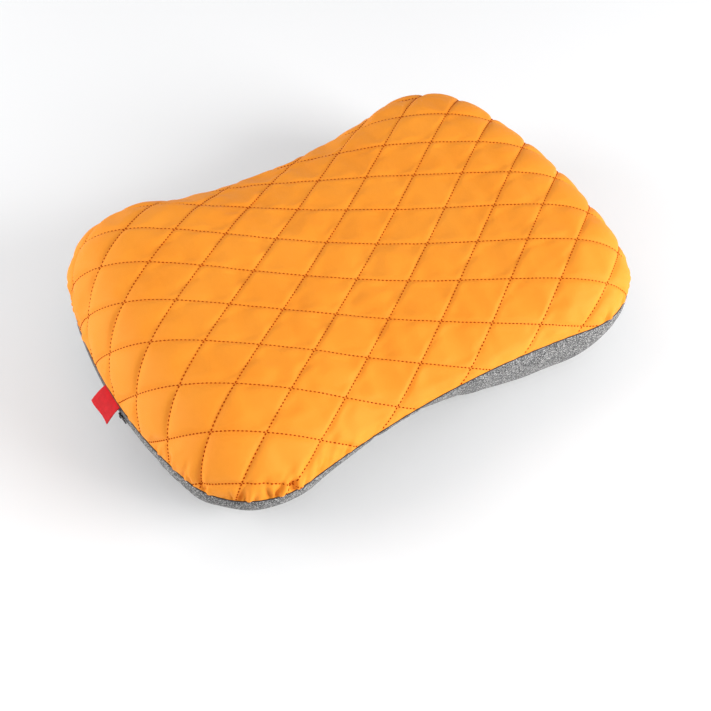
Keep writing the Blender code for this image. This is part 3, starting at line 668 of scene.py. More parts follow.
def keep_values(piece, name, values):
    kind = "FLOAT" if values.ndim == 1 else "FLOAT_VECTOR"
    attribute = piece.data.attributes.new(name, kind, "POINT")
    if values.ndim == 1:
        attribute.data.foreach_set("value", values.astype(np.float32))
    else:
        padded = np.zeros((len(values), 3), np.float32)
        padded[:, : values.shape[1]] = values
        attribute.data.foreach_set("vector", padded.ravel())


def kept_values(piece, name, width):
    attribute = piece.data.attributes[name]
    flat = np.empty(len(attribute.data) * (1 if width == 1 else 3), np.float32)
    attribute.data.foreach_get("value" if width == 1 else "vector", flat)
    return flat if width == 1 else flat.reshape(-1, 3)[:, :width]


def add_cloth_map(piece, places):
    """A UV map that holds each point's place on the flat cloth, in metres."""
    layer = piece.data.uv_layers.new(name="cloth")
    corners = np.empty(len(piece.data.loops), np.int32)
    piece.data.loops.foreach_get("vertex_index", corners)
    layer.data.foreach_set("uv", places[corners].astype(np.float32).ravel())


quilt_flat = flat_cloth(quilt_pattern[:, 0], quilt_pattern[:, 1])
keep_values(quilt, "pattern", quilt_pattern)
keep_values(quilt, "left", quilt_left)
keep_values(quilt, "outward", quilt_normals)
add_cloth_map(quilt, quilt_flat)
finer = quilt.modifiers.new("Finer", "SUBSURF")
finer.levels = finer.render_levels = 1
apply_all(quilt)
print("quilt now has", len(quilt.data.polygons), "faces")

# %% [markdown]
# The puckers at the corners are narrower than two mesh cells, so the corners alone are subdivided once
# more. The rest stays coarser, which keeps the piece light.

# %% Finer corners
CORNERS = (  # direction from the middle, half width of the stretch, number of puckers, strength
    (radians(223), radians(13), 22, 1.0),
    (radians(205), radians(9), 6, 0.8),
    (radians(152), radians(13), 10, 0.7),
    (radians(330), radians(17), 18, 0.9),
    (radians(30), radians(12), 8, 0.6),
)
FINE_REACH, FINE_MARGIN = 27 * MM, radians(3)


def angle_from(directions, start):
    """Signed turn from one direction to each of the others."""
    return (directions - start + pi) % (2 * pi) - pi


def refine_corners(piece):
    left = kept_values(piece, "left", 1)
    points = points_of(piece)
    direction = np.arctan2(points[:, 1], points[:, 0])
    at_corner = np.zeros(len(points), bool)
    for middle, half, _, _ in CORNERS:
        at_corner |= np.abs(angle_from(direction, middle)) < half + FINE_MARGIN
    chosen = at_corner & (left < FINE_REACH)
    make_active(piece)
    bpy.ops.object.mode_set(mode="EDIT")
    bpy.ops.mesh.select_all(action="DESELECT")
    bpy.ops.object.mode_set(mode="OBJECT")
    for face in piece.data.polygons:
        face.select = all(chosen[k] for k in face.vertices)
    bpy.ops.object.mode_set(mode="EDIT")
    bpy.ops.mesh.select_mode(type="FACE")
    bpy.ops.mesh.subdivide(number_cuts=1)
    bpy.ops.object.mode_set(mode="OBJECT")


refine_corners(quilt)
print("with finer corners", len(quilt.data.polygons), "faces")

# %% [markdown]
# ## Creases
# Two kinds of crease come after the simulation. Along every row the thread pulls a narrow groove. At the
# round corners a flat quilt has too much cloth, which the sewer eases into the seam, so short puckers run
# up from it. Each pucker is a narrow valley with a soft fold on one side, with its own length, depth and
# lean.

# %% Grooves and puckers
GROOVE, GROOVE_WIDTH = 0.3 * MM, 1.4 * MM
DEEPEST = 2.3 * MM  # no crease reaches the wadding
PUCKER_DEPTH, PUCKER_LENGTH, PUCKER_WIDTH = 2.8 * MM, 17 * MM, 1.1 * MM
PUCKER_START = 2.5 * MM  # the seam itself stays even
FOLD_SIDE = 1  # the fold lies over to the same side of every valley, as the sewing foot pushes it
ALL_ROUND = 20  # weaker puckers spread over the whole seam
dice = np.random.default_rng(7)


def row_distance(pattern):
    """Distance on the cloth to the nearest row."""
    to_row = np.abs(pattern - np.round(pattern))
    return to_row.min(axis=1) * DIAMOND_SIDE * sin(ROW_ANGLE_A + ROW_ANGLE_B)


def pucker_list():
    rows = [
        (middle + dice.uniform(-half, half), strength * dice.uniform(0.5, 1.0))
        for middle, half, count, strength in CORNERS
        for _ in range(count)
    ]
    rows += [(dice.uniform(0, 2 * pi), dice.uniform(0.15, 0.35)) for _ in range(ALL_ROUND)]
    return [(angle, strength, dice.uniform(-0.35, 0.35), dice.uniform(0.5, 1.1)) for angle, strength in rows]


def pucker_height(points, left):
    """How far the puckers move each point out, from its place along the seam and its distance to it."""
    height = np.zeros(len(points))
    angle = np.arctan2(points[:, 1], points[:, 0])
    near = np.flatnonzero(left < 1.6 * PUCKER_LENGTH)
    reach = np.hypot(points[near, 0], points[near, 1])
    for start, strength, lean, length in pucker_list():
        along = angle_from(angle[near], start) * reach - lean * left[near]
        fade = np.exp(-((left[near] / (PUCKER_LENGTH * length)) ** 2))
        width = PUCKER_WIDTH * (1 + 0.8 * left[near] / PUCKER_LENGTH)
        valley = -np.exp(-((along / width) ** 2))
        fold = 0.55 * np.exp(-(((along - FOLD_SIDE * 2.6 * width) / (1.7 * width)) ** 2))
        height[near] += PUCKER_DEPTH * strength * fade * (valley + fold)
    return np.clip(height, -1.2 * PUCKER_DEPTH, 0.8 * PUCKER_DEPTH) * ease(left / PUCKER_START)


fine_pattern = kept_values(quilt, "pattern", 2)
fine_left = kept_values(quilt, "left", 1)
fine_normals = kept_values(quilt, "outward", 3)
fine_points = points_of(quilt)
groove = -GROOVE * np.exp(-((row_distance(fine_pattern) / GROOVE_WIDTH) ** 2)) * ease(fine_left / (4 * MM))
puckers = pucker_height(fine_points, fine_left)
creases = np.maximum(groove + puckers, -DEEPEST)
set_points(quilt, fine_points + fine_normals * creases[:, None])
for name in ("pattern", "left", "outward"):
    quilt.data.attributes.remove(quilt.data.attributes[name])
print("puckers in mm", round(puckers.min() / MM, 2), "to", round(puckers.max() / MM, 2))

# %% [markdown]
# ## Orange shell finish
# The shell is a soft brushed polyester: matt, with a fine plain weave, a little fuzz that lightens it at
# grazing angles, and a colour that drifts slightly across the cloth. The weave is two sets of stripes in
# metres on the flat cloth, so it follows the cloth round the pillow.

# %% Orange shell


def shell_finish():
    made = new_finish("orange_shell", (0.95, 0.31, 0.018), 0.65, Sheen_Weight=0.03, Specular_IOR_Level=0.25)
    made.node_tree.nodes["Principled BSDF"].inputs["Sheen Tint"].default_value = (1.0, 0.72, 0.4, 1)
    place = cloth_place(made)
    drift = noise(made, place, 60 * MM, detail=3.0)
    fine = noise(made, place, 1.5 * MM, detail=4.0, roughness=0.7)
    tone = math(made, "ADD", math(made, "MULTIPLY", drift, 0.8), math(made, "MULTIPLY", fine, 0.2))
    stops = (0.25, (0.92, 0.275, 0.012)), (0.5, (0.95, 0.31, 0.018)), (0.78, (0.97, 0.335, 0.025))
    to_shader(made, "Base Color", ramp(made, tone, *stops))
    weave = math(made, "MULTIPLY", stripes(made, place, "X", 0.34 * MM), stripes(made, place, "Y", 0.34 * MM))
    crumple = noise(made, place, 9 * MM, detail=4.0, roughness=0.6)
    under = bump(made, crumple, 0.3 * MM)
    to_shader(made, "Normal", bump(made, weave, 0.05 * MM, under))
    return made


SHELL_THICKNESS = 0.6 * MM
set_material(quilt, shell_finish())
wall = quilt.modifiers.new("Wall", "SOLIDIFY")
wall.thickness = SHELL_THICKNESS
wall.offset = -1
apply_all(quilt)
quilt.data.shade_smooth()


settle(quilt, "cover", "quilt_fabric", "quilt_face")

# %% [markdown]
# ## Stitches
# The rows are lockstitched in a thread whose rust brown is partly its own colour and partly painted shade
# of the small holes it sinks into. Each stitch shows as a short dash that dives into the shell at both ends.
# One small function makes every dash, from about forty triangles, because there are thousands of them. Each
# is laid on the finished shell, which is found by looking straight in at it from outside.

# %% Stitches along the rows
STITCH_PITCH = DIAMOND_SIDE / 13
STITCH_LENGTH = 1.9 * MM
THREAD_RADIUS = 0.5 * MM
STITCH_SIDES = 5
STITCH_MARGIN = 2.0 * MM  # no stitch starts nearer to the seam
LOOK_FROM = 8 * MM  # the shell is looked for from this far outside the dome
DIP = (-1.0, 0.55, 1.0, 0.55, -1.0)  # height of the dash along its length, in thread radii


def surface_tree(piece):
    mesh = bmesh.new()
    mesh.from_mesh(piece.data)
    tree = BVHTree.FromBMesh(mesh)
    mesh.free()
    return tree


def stitch_places():
    """Pattern coordinates before, at and after the middle of every stitch, for each row of both sets."""
    rows = []
    half = STITCH_LENGTH / DIAMOND_SIDE / 2
    for moving, first, last, across in ((0, *REACH_A, REACH_B), (1, *REACH_B, REACH_A)):
        middles = np.arange(first, last, STITCH_PITCH / DIAMOND_SIDE) + STITCH_PITCH / DIAMOND_SIDE / 2
        for row in range(across[0], across[1] + 1):
            ends = []
            for shift in (-half, 0, half):
                place = np.full((len(middles), 2), float(row))
                place[:, moving] = middles + shift
                ends.append(place)
            rows.append(ends)
    return rows


def lay_stitches(tree):
    points, faces = [], []
    for before, middle, after in stitch_places():
        near = may_reach(flat_cloth(middle[:, 0], middle[:, 1]))
        if not near.any():
            continue
        ends = [find_on_chart(flat_cloth(p[near, 0], p[near, 1])) for p in (before, middle, after)]
        left = on_dome(ends[1])[1]
        normals = dome_normals(ends[1])
        for k in np.flatnonzero(left > STITCH_MARGIN):
            out = Vector(normals[k])
            hits = []
            for end in ends:
                above = Vector(on_dome(end[k : k + 1])[0][0]) + out * LOOK_FROM
                hits.append(tree.ray_cast(above, -out)[0])
            if None in hits:
                continue
            add_dash(points, faces, hits, out)
    return points, faces


def add_dash(points, faces, hits, out):
    """A short thread that bends over three surface points and dives in at its ends."""
    first, last = len(points), len(DIP) - 1
    along = (hits[2] - hits[0]).normalized()
    side = out.cross(along).normalized()
    for n, dip in enumerate(DIP):
        share = 2 * n / last
        base = hits[0].lerp(hits[1], share) if share <= 1 else hits[1].lerp(hits[2], share - 1)
        centre = base + out * dip * 0.6 * THREAD_RADIUS
        radius = THREAD_RADIUS * (0.7 if n in (0, last) else 1.0)
        for m in range(STITCH_SIDES):
            turn = 2 * pi * m / STITCH_SIDES
            points.append(centre + side * radius * cos(turn) + out * radius * sin(turn))
    faces += bar_faces(len(DIP), STITCH_SIDES, first)


def thread_finish():
    # The rust brown is partly the thread's own colour and partly painted shade of the stitch holes.
    made = new_finish("thread_with_painted_hole_shade", (0.42, 0.035, 0.001), 0.8, Specular_IOR_Level=0.0)
    place = object_place(made)
    tone = noise(made, place, 2 * MM, detail=2.0)
    two_tone(made, tone, (0.34, 0.024, 0.001), (0.50, 0.048, 0.001))
    to_shader(made, "Normal", bump(made, noise(made, place, 0.3 * MM), 0.05 * MM))
    return made


stitches = new_object("quilt_stitches", *lay_stitches(surface_tree(quilt)))
set_material(stitches, thread_finish())
settle(stitches, "cover", "quilt_fabric")

# %% [markdown]
# ## Wadding
# The wadding lies right under the shell, so it follows the shell's valleys and puffs and is squeezed thin
# along the rows. Its upper side is the settled mesh of the shell moved in; its lower side is the smooth
# dome that the lining makes.

# %% Wadding
WADDING_TOP = 1.5 * MM  # from the settled mesh of the shell
PUCKER_ROOM = 2.0 * MM  # more room beside the seam, where the puckers dip
WADDING_BOTTOM = 5.9 * MM  # from the plain dome
THINNEST = 0.4 * MM  # where a row squeezes it
RIM_LIFT = 0.15 * MM


def closed_layer(name, upper, lower, faces):
    """A closed piece between two sheets of the same mesh, with a wall round its rim."""
    count = len(upper)
    sides = dict.fromkeys((k, m) for face in faces for k, m in zip(face, face[1:] + face[:1]))
    edge = [(k, m) for k, m in sides if (m, k) not in sides]
    walls = [(m, k, k + count, m + count) for k, m in edge]
    under = [tuple(k + count for k in face[::-1]) for face in faces]
    return new_object(name, np.r_[upper, lower], [*map(tuple, faces), *under, *walls])


def lifted(points):
    """Rim points stay just above the seam."""
    moved = points.copy()
    moved[quilt_rim, 2] = quilt_points[quilt_rim, 2] + RIM_LIFT
    return moved


wadding_depth = WADDING_TOP + PUCKER_ROOM * (1 - ease((quilt_left - 26 * MM) / (16 * MM)))
wadding_top = np.minimum(wadding_depth - limited, WADDING_BOTTOM - THINNEST)  # from the plain dome
wadding = closed_layer(
    "quilt_wadding_soft",
    lifted(quilt_points - quilt_normals * wadding_top[:, None]),
    lifted(quilt_points - quilt_normals * WADDING_BOTTOM),
    quilt_faces,
)


def wadding_finish():
    made = new_finish("white_wadding", (0.86, 0.85, 0.82), 0.95, Sheen_Weight=0.3)
    place = object_place(made)
    fibre = noise(made, place, 3 * MM, detail=6.0, roughness=0.75)
    two_tone(made, fibre, (0.74, 0.73, 0.70), (0.92, 0.91, 0.89))
    to_shader(made, "Normal", bump(made, fibre, 0.8 * MM))
    return made


set_material(wadding, wadding_finish())
settle(wadding, "cover", "wadding", "quilt_wadding")

# %% [markdown]
# ## Knit underside
# The knit panel is stretched over the lower half of the bladder and sewn to the shell at the seam. It is a
# closed shell with the same profile as the frame's panel, with shallow waves where the seam holds it, and
# it is flat where the pillow stands. The slot of the zip and the hole of the valve are cut through it.

# %% Shape of the knit panel
KNIT_THICKNESS = 1.2 * MM
STATIONS = 720
BOWL_ROWS = 30
FLAT_SHARES = (0.9, 0.7, 0.45, 0.2)  # of the ring where the knit meets the floor
PINCH_REST_SHARE, PINCH_POWER = 0.52, 0.62
PINCH_MIDDLE = -40 * MM
PINCH_TO_LEFT, PINCH_TO_RIGHT = 260 * MM, 140 * MM
PINCH_FROM, PINCH_TO = 100 * MM, 140 * MM
WAVE_HEIGHT, FOLD_DEPTH = 0.9 * MM, 1.3 * MM
FOLDS = 46
FOLD_REACH = 22 * MM  # how far down from the seam the folds run
DROP_PER_TURN = 60 * MM  # way down over the knit for each radian of a row's angle
ZIP_STRETCH = (-45 * MM, 100 * MM)  # the knit lies smooth beside the zip
VALVE_STRETCH = 30 * MM  # and this far to each side of the valve
CALM_FADE = 30 * MM
CALM_FROM_MIDDLE = 200 * MM  # both stretches are fully smooth from here on out


def even_stations():
    """Directions that are evenly spaced along the outline."""
    closed = np.r_[outline, outline[:1]]
    run = np.r_[0, np.hypot(*np.diff(closed, axis=0).T).cumsum()]
    angles = np.r_[outline_angle, outline_angle[0] + 2 * pi]
    return np.interp(np.linspace(0, run[-1], STATIONS, endpoint=False), run, angles)


station_angle = even_stations()
station_x = reach_at(station_angle) * np.cos(station_angle)
station_y = reach_at(station_angle) * np.sin(station_angle)


def pinch(x, y):
    """1 where the underside is drawn in most, 0 at the two ends and the right lobe."""
    offset = x - PINCH_MIDDLE
    along = 1 - ease(np.abs(offset) / np.where(offset > 0, PINCH_TO_RIGHT, PINCH_TO_LEFT))
    return along * ease((np.abs(y) - PINCH_FROM) / (PINCH_TO - PINCH_FROM))


def calm(x, y):
    """1 where the knit may fold, 0 beside the zip and the valve."""
    before, after = ease((ZIP_STRETCH[0] - y) / CALM_FADE), ease((y - ZIP_STRETCH[1]) / CALM_FADE)
    zip_side = (x < 0) * (1 - before - after) * ease(-x / CALM_FROM_MIDDLE)
    valve_side = (x > 0) * (1 - ease((np.abs(y) - VALVE_STRETCH) / CALM_FADE)) * ease(x / CALM_FROM_MIDDLE)
    return 1 - np.clip(zip_side, 0, 1) - np.clip(valve_side, 0, 1)


fold_list = [
    (dice.uniform(0, 2 * pi), dice.uniform(0.3, 1.0), dice.uniform(-0.6, 0.6), dice.uniform(2.2, 4.5) * MM)
    for _ in range(FOLDS)
]
wave_list = [(dice.integers(9, 42), dice.uniform(0, 2 * pi), dice.uniform(0.3, 1.0)) for _ in range(7)]


def knit_row(angle):
    """One ring of the panel, at an angle down from the seam."""
    drawn = pinch(station_x, station_y)
    rest = REST_SHARE + (PINCH_REST_SHARE - REST_SHARE) * drawn
    share = 1 - (1 - rest) * (1 - cos(angle)) ** (1 + (PINCH_POWER - 1) * drawn)
    x, y = station_x * share, station_y * share
    z = seam_height(x, y) * (1 - sin(angle))
    waves = sum(size * np.sin(count * station_angle + phase) for count, phase, size in wave_list) / 3
    height = WAVE_HEIGHT * waves * sin(angle) * cos(angle) * 2
    drop = angle * DROP_PER_TURN
    for start, strength, lean, width in fold_list:
        off = angle_from(station_angle, start) * reach_at(station_angle) - lean * drop
        fade = np.exp(-((drop / FOLD_REACH) ** 2))
        height = height - FOLD_DEPTH * strength * np.exp(-((off / width) ** 2)) * fade
    height = height * calm(x, y) - TUCK * np.exp(-drop / (3 * MM))
    out = np.c_[np.cos(station_angle) * cos(angle), np.sin(station_angle) * cos(angle), 0 * x - sin(angle)]
    return np.maximum(np.c_[x, y, z] + out * height[:, None], (-1, -1, 0))


def knit_skin():
    rows = [knit_row(angle) for angle in pi / 2 * np.linspace(0, 1, BOWL_ROWS) ** 1.15]
    rows += [rows[BOWL_ROWS - 1] * (share, share, 0) for share in FLAT_SHARES]
    points = [p for row in rows for p in row] + [(0, 0, 0)]
    faces = []
    for n in range(len(rows) - 1):
        for k in range(STATIONS):
            m = (k + 1) % STATIONS
            faces.append((n * STATIONS + k, (n + 1) * STATIONS + k, (n + 1) * STATIONS + m, n * STATIONS + m))
    last = (len(rows) - 1) * STATIONS
    faces += [(last + k, len(points) - 1, last + (k + 1) % STATIONS) for k in range(STATIONS)]
    return points, faces


knit = new_object("knit_panel", *knit_skin())
wall = knit.modifiers.new("Wall", "SOLIDIFY")
wall.thickness = KNIT_THICKNESS
wall.offset = -1
apply_all(knit)
print("knit panel box in mm", [round(c / MM, 1) for c in knit.dimensions], "faces", len(knit.data.polygons))

# %% [markdown]
# The slot follows the curve of the end and the hole follows the valve's tilted axis, so both cutters are
# made in those frames. The two frames are used again below for the zip and for the valve.

# %% The zip's curve and the valve's axis
BOW_CENTRE = Vector((END_BOW_RADIUS - LENGTH / 2, 0, 0))
ZIP_Z = SEAM_AT_ENDS - 7.5 * MM
VALVE_ANGLE = radians(25)
bowl_reach = (1 - REST_SHARE) * LENGTH / 2


def on_bow(depth, y, z):
    """A point on the -X end: depth inwards from its curve, y along it."""
    turn = pi - asin(y / END_BOW_RADIUS)
    radius = END_BOW_RADIUS - depth
    return BOW_CENTRE + Vector((radius * cos(turn), radius * sin(turn), z))


def valve_frame():
    """Origin on the cover's surface, local Z out of the pillow, local X up along the surface."""
    x = LENGTH / 2 - bowl_reach * (1 - cos(VALVE_ANGLE))
    out = Vector((cos(VALVE_ANGLE) / bowl_reach, 0, -sin(VALVE_ANGLE) / SEAM_AT_ENDS)).normalized()
    side = Vector((0, -1, 0))
    axes = Matrix((side.cross(out), side, out)).transposed().to_4x4()
    return Matrix.Translation((x, 0, SEAM_AT_ENDS * (1 - sin(VALVE_ANGLE)))) @ axes


VALVE = valve_frame()
print("valve at", [round(c / MM, 1) for c in VALVE.translation], "mm, zip height", round(ZIP_Z / MM, 1))

# %% Cut the slot and the hole
SLOT_HALF = 3.6 * MM
SLOT_FRONT, SLOT_BACK = -29 * MM, 84 * MM
HOLE_RADIUS = 17.5 * MM


def swept_bar(name, section, y0, y1, steps):
    """A closed section of (depth, z) points swept along the curve of the -X end."""
    points = [on_bow(d, y0 + (y1 - y0) * k / steps, z) for k in range(steps + 1) for d, z in section]
    made = new_object(name, points, bar_faces(steps + 1, len(section)))
    turn_outwards(made)
    return made


def cut_away(piece, cutter):
    modifier = piece.modifiers.new("Cut", "BOOLEAN")
    modifier.object = cutter
    modifier.solver = "MANIFOLD"
    apply_all(piece)
    bpy.data.objects.remove(cutter)


CUT_DEPTH = 4 * MM  # passes right through the knit
slot_section = [(d * CUT_DEPTH, ZIP_Z + z * SLOT_HALF) for d, z in ((-1, -1), (1, -1), (1, 1), (-1, 1))]
before = len(knit.data.polygons)
cut_away(knit, swept_bar("slot_cutter", slot_section, SLOT_FRONT, SLOT_BACK, 24))
bpy.ops.mesh.primitive_cylinder_add(vertices=64, radius=HOLE_RADIUS, depth=12 * MM)
hole_cutter = bpy.context.object
hole_cutter.data.transform(VALVE)
cut_away(knit, hole_cutter)
knit.data.shade_smooth()
make_active(knit)
bpy.ops.object.shade_smooth_by_angle(angle=radians(50))
print("faces before and after the cuts", before, len(knit.data.polygons))

# %% [markdown]
# ## Marled knit finish
# The grey is a mix of dark and light fibres spun together, so it is a speckle at the scale of the yarn. The
# speckle is noise drawn out a little along the courses, and it is lit by fine ribs of stitches about a
# millimetre apart. The underside curves every way, so the pattern reads Object coordinates in three
# dimensions.

# %% Marled knit


def knit_finish():
    made = new_finish("marled_knit", (0.33, 0.33, 0.34), 0.92, Sheen_Weight=0.08, Sheen_Roughness=0.6)
    place = object_place(made)
    yarn = noise(made, place, 1.3 * MM, detail=3.0, roughness=0.8, stretch=(1, 1, 1.2))
    patch = noise(made, place, 11 * MM, detail=2.0)
    tone = math(made, "ADD", math(made, "MULTIPLY", yarn, 0.95), math(made, "MULTIPLY", patch, 0.05))
    colour = ramp(
        made,
        tone,
        (0.42, (0.010, 0.010, 0.011)),
        (0.48, (0.070, 0.069, 0.073)),
        (0.54, (0.22, 0.218, 0.215)),
        (0.61, (0.64, 0.63, 0.61)),
    )
    to_shader(made, "Base Color", colour)
    ribs = stripes(made, place, "Z", 1.1 * MM)
    loops = math(made, "MULTIPLY", ribs, noise(made, place, 0.9 * MM, detail=3.0))
    to_shader(made, "Normal", bump(made, loops, 0.35 * MM, bump(made, patch, 0.6 * MM)))
    return made


knit_material = knit_finish()
set_material(knit, knit_material)
settle(knit, "cover", "knit", "under_panel")

# %% [markdown]
# ## Side label
# The label is a satin ribbon folded in half, with both ends sewn into the seam. It is modelled as one strip
# that runs out, turns round at the fold and comes back, so that the two layers show at its sides. It is
# left blank.

# %% Label
LABEL_FRONT, LABEL_BACK = -16.5 * MM, 10 * MM
LABEL_OUT, LABEL_DROP = 12.6 * MM, 11.4 * MM
RIBBON = 0.34 * MM
LAYER_GAP = 0.22 * MM
LABEL_STEPS = 26
LABEL_SEWN = 1.6 * MM  # how far the ends go into the seam
CURL_OUT, CURL_OUT_PITCH = 0.7 * MM, 31 * MM  # the free fold curls a little, out and down
CURL_DOWN, CURL_DOWN_PITCH = 0.5 * MM, 44 * MM


def ribbon_path(layer):
    """Half of the folded ribbon as (depth, height) points: layer 1 is the upper one, -1 the lower one."""
    share = np.linspace(0, 1, 13)
    depth = LABEL_SEWN - (LABEL_OUT + LABEL_SEWN) * share
    height = -LABEL_DROP * share**1.35 + 0.5 * MM * np.sin(pi * share)
    slope = np.gradient(height, depth)
    normal = np.c_[slope, -np.ones(len(share))] * -1
    normal /= np.linalg.norm(normal, axis=1)[:, None]
    return np.c_[depth, height] + layer * normal * (RIBBON + LAYER_GAP) / 2, normal


def ribbon_section():
    """The outline of both layers with a round fold between them."""
    upper, upper_normal = ribbon_path(1)
    lower, lower_normal = ribbon_path(-1)
    tip, along = (upper[-1] + lower[-1]) / 2, upper[-1] - upper[-2]
    along /= np.linalg.norm(along)
    side = upper_normal[-1]
    turns = np.linspace(pi / 2, -pi / 2, 9)[1:-1]
    far, near = RIBBON + LAYER_GAP / 2, LAYER_GAP / 2
    bend_out = [tip + far * (side * sin(t) + along * cos(t)) for t in turns]
    bend_in = [tip + near * (side * sin(t) + along * cos(t)) for t in turns[::-1]]
    half = RIBBON / 2
    return np.r_[
        upper + upper_normal * half,
        bend_out,
        (lower - lower_normal * half)[::-1],
        lower + lower_normal * half,
        bend_in,
        (upper - upper_normal * half)[::-1],
    ]


section = [(d, SEAM_AT_ENDS + z) for d, z in ribbon_section()]
label = swept_bar("label_ribbon", section, LABEL_FRONT, LABEL_BACK, LABEL_STEPS)
label_points = points_of(label)
hang = np.clip((-LENGTH / 2 - label_points[:, 0]) / LABEL_OUT, 0, 1)
way = 2 * pi * (label_points[:, 1] - LABEL_FRONT)
label_points[:, 0] += CURL_OUT * hang**2 * np.sin(way / CURL_OUT_PITCH)
label_points[:, 2] -= CURL_DOWN * hang**2 * np.cos(way / CURL_DOWN_PITCH)
set_points(label, label_points)


def ribbon_finish():
    made = new_finish("red_ribbon", (0.60, 0.002, 0.008), 0.6, Sheen_Weight=0.02, Specular_IOR_Level=0.2)
    place = object_place(made)
    weft = stripes(made, place, "Y", 0.42 * MM)
    warp = stripes(made, place, "Z", 0.26 * MM)
    cloudy = noise(made, place, 4 * MM, detail=3.0)
    two_tone(made, cloudy, (0.54, 0.002, 0.007), (0.66, 0.003, 0.010))
    to_shader(made, "Normal", bump(made, math(made, "MAXIMUM", weft, warp), 0.06 * MM))
    return made


set_material(label, ribbon_finish())
make_active(label)
bpy.ops.object.shade_smooth_by_angle(angle=radians(40))
settle(label, "cover", "label", "side_label")

# %% [markdown]
# ## Zip
# It is a nylon coil zip: each row of teeth is a single plastic wire wound in a flattened helix and sewn to
# the edge of its tape. A bar would look like a strip of paint, so each row is a real helix that follows the
# curve of the end. The rows stop short of the middle line, where the slider's bridge passes.

# %% Zip coils
COIL_PITCH = 1.25 * MM
WIRE_RADIUS = 0.24 * MM
COIL_TURN_STEPS, WIRE_SIDES = 10, 6
TEETH_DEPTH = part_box("zip_teeth_upper")[0].x + LENGTH / 2
TEETH_THICKNESS = 1.2 * MM
COIL_IN, COIL_OUT = 0.56 * MM, 2.2 * MM  # from the zip's middle line
COIL_FRONT, COIL_BACK = -26 * MM, 81 * MM  # between the two end stops


def zip_coil(name, side):
    """A flattened helix beside the zip's middle line, above it for side 1 and below it for side -1."""
    turns = int((COIL_BACK - COIL_FRONT) / COIL_PITCH)
    middle = (COIL_IN + COIL_OUT) / 2
    tall, deep = (COIL_OUT - COIL_IN) / 2 - WIRE_RADIUS, TEETH_THICKNESS / 2 - WIRE_RADIUS
    count = turns * COIL_TURN_STEPS
    line = []
    for n in range(count + 1):
        turn = 2 * pi * n / COIL_TURN_STEPS
        depth = TEETH_DEPTH + TEETH_THICKNESS / 2 + deep * sin(turn)
        height = ZIP_Z + side * (middle + tall * cos(turn))
        line.append(on_bow(depth, COIL_FRONT + (COIL_BACK - COIL_FRONT) * n / count, height))
    return tube(name, line, WIRE_RADIUS, WIRE_SIDES)


def tube(name, line, radius, sides):
    """A round wire along a line of points, with closed ends."""
    points = []
    for n, place in enumerate(line):
        ahead = (line[min(n + 1, len(line) - 1)] - line[max(n - 1, 0)]).normalized()
        across = ahead.cross(Vector((1, 0, 0.01))).normalized()
        out = ahead.cross(across)
        for m in range(sides):
            turn = 2 * pi * m / sides
            points.append(place + (across * cos(turn) + out * sin(turn)) * radius)
    made = new_object(name, points, bar_faces(len(line), sides))
    turn_outwards(made)
    return made


def plastic_finish(name, dark, light, roughness, grain=0.4 * MM, depth=0.02 * MM):
    """A moulded plastic: two close tones, a fine grain, and gloss that varies a little."""
    made = new_finish(name, light, roughness, Specular_IOR_Level=0.45)
    place = object_place(made)
    tone = noise(made, place, 6 * MM, detail=4.0)
    two_tone(made, tone, dark, light)
    gloss = math(made, "MULTIPLY_ADD", tone, 0.25)
    gloss.node.inputs[2].default_value = roughness - 0.12
    to_shader(made, "Roughness", gloss)
    to_shader(made, "Normal", bump(made, noise(made, place, grain, detail=3.0), depth))
    return made


teeth_material = plastic_finish("black_nylon", (0.008, 0.008, 0.009), (0.016, 0.016, 0.018), 0.4)
for name, side in (("upper", 1), ("lower", -1)):
    coil = zip_coil(f"zip_coil_{name}", side)
    set_material(coil, teeth_material)
    settle(coil, "cover", "zip_teeth", f"zip_teeth_{name}")

# %% [markdown]
# The tapes, stops, slider and tab keep the frame's shapes. A sharp machine edge gives a model away, so the
# hard pieces are copied, their triangles are merged into whole faces, and their edges are rounded with a
# small bevel.

# %% Rounded copies of the hard pieces


def rounded_copy(node, name, bevel, angle=24):
    """A copy of a CAD node with merged faces and rounded edges."""
    made = bpy.data.objects.new(name, nodes[node].data.copy())
    bpy.context.scene.collection.objects.link(made)
    make_active(made)
    bpy.ops.object.mode_set(mode="EDIT")
    bpy.ops.mesh.select_all(action="SELECT")
    bpy.ops.mesh.remove_doubles(threshold=0.002 * MM)
    bpy.ops.mesh.dissolve_limited(angle_limit=radians(1))
    bpy.ops.object.mode_set(mode="OBJECT")
    rounding = made.modifiers.new("Rounding", "BEVEL")
    rounding.width = bevel
    rounding.segments = 3
    rounding.limit_method = "ANGLE"
    rounding.angle_limit = radians(angle)
    apply_all(made)
    bpy.ops.object.shade_smooth_by_angle(angle=radians(32))
    return made


def metal_finish():
    """Black lacquer over metal, with the odd fleck worn bare."""
    gloss = {"Metallic": 0.35, "Coat_Weight": 0.3, "Coat_Roughness": 0.2}
    made = new_finish("black_lacquer", (0.014, 0.014, 0.015), 0.32, **gloss)
    place = object_place(made)
    flecks = noise(made, place, 0.5 * MM, detail=5.0, roughness=0.8)
    worn = ramp(made, flecks, (0.70, (0.014, 0.014, 0.015)), (0.80, (0.12, 0.12, 0.12)))
    to_shader(made, "Base Color", worn)
    to_shader(made, "Normal", bump(made, noise(made, place, 0.8 * MM), 0.02 * MM))
    return made


lacquer = metal_finish()
slider = rounded_copy("slider_body", "zip_slider_lacquered", 0.12 * MM)
tab = rounded_copy("pull_tab", "zip_tab_lacquered", 0.16 * MM)
set_material(slider, lacquer)
set_material(tab, lacquer)
settle(slider, "zip_slider", "slider_metal", "slider_body")
settle(tab, "tab", "slider_metal", "pull_tab")
for place in ("front", "back"):
    stop = rounded_copy(f"zip_stop_{place}", f"zip_end_{place}", 0.15 * MM)
    set_material(stop, lacquer)
    settle(stop, "cover", "slider_metal", f"zip_stop_{place}")

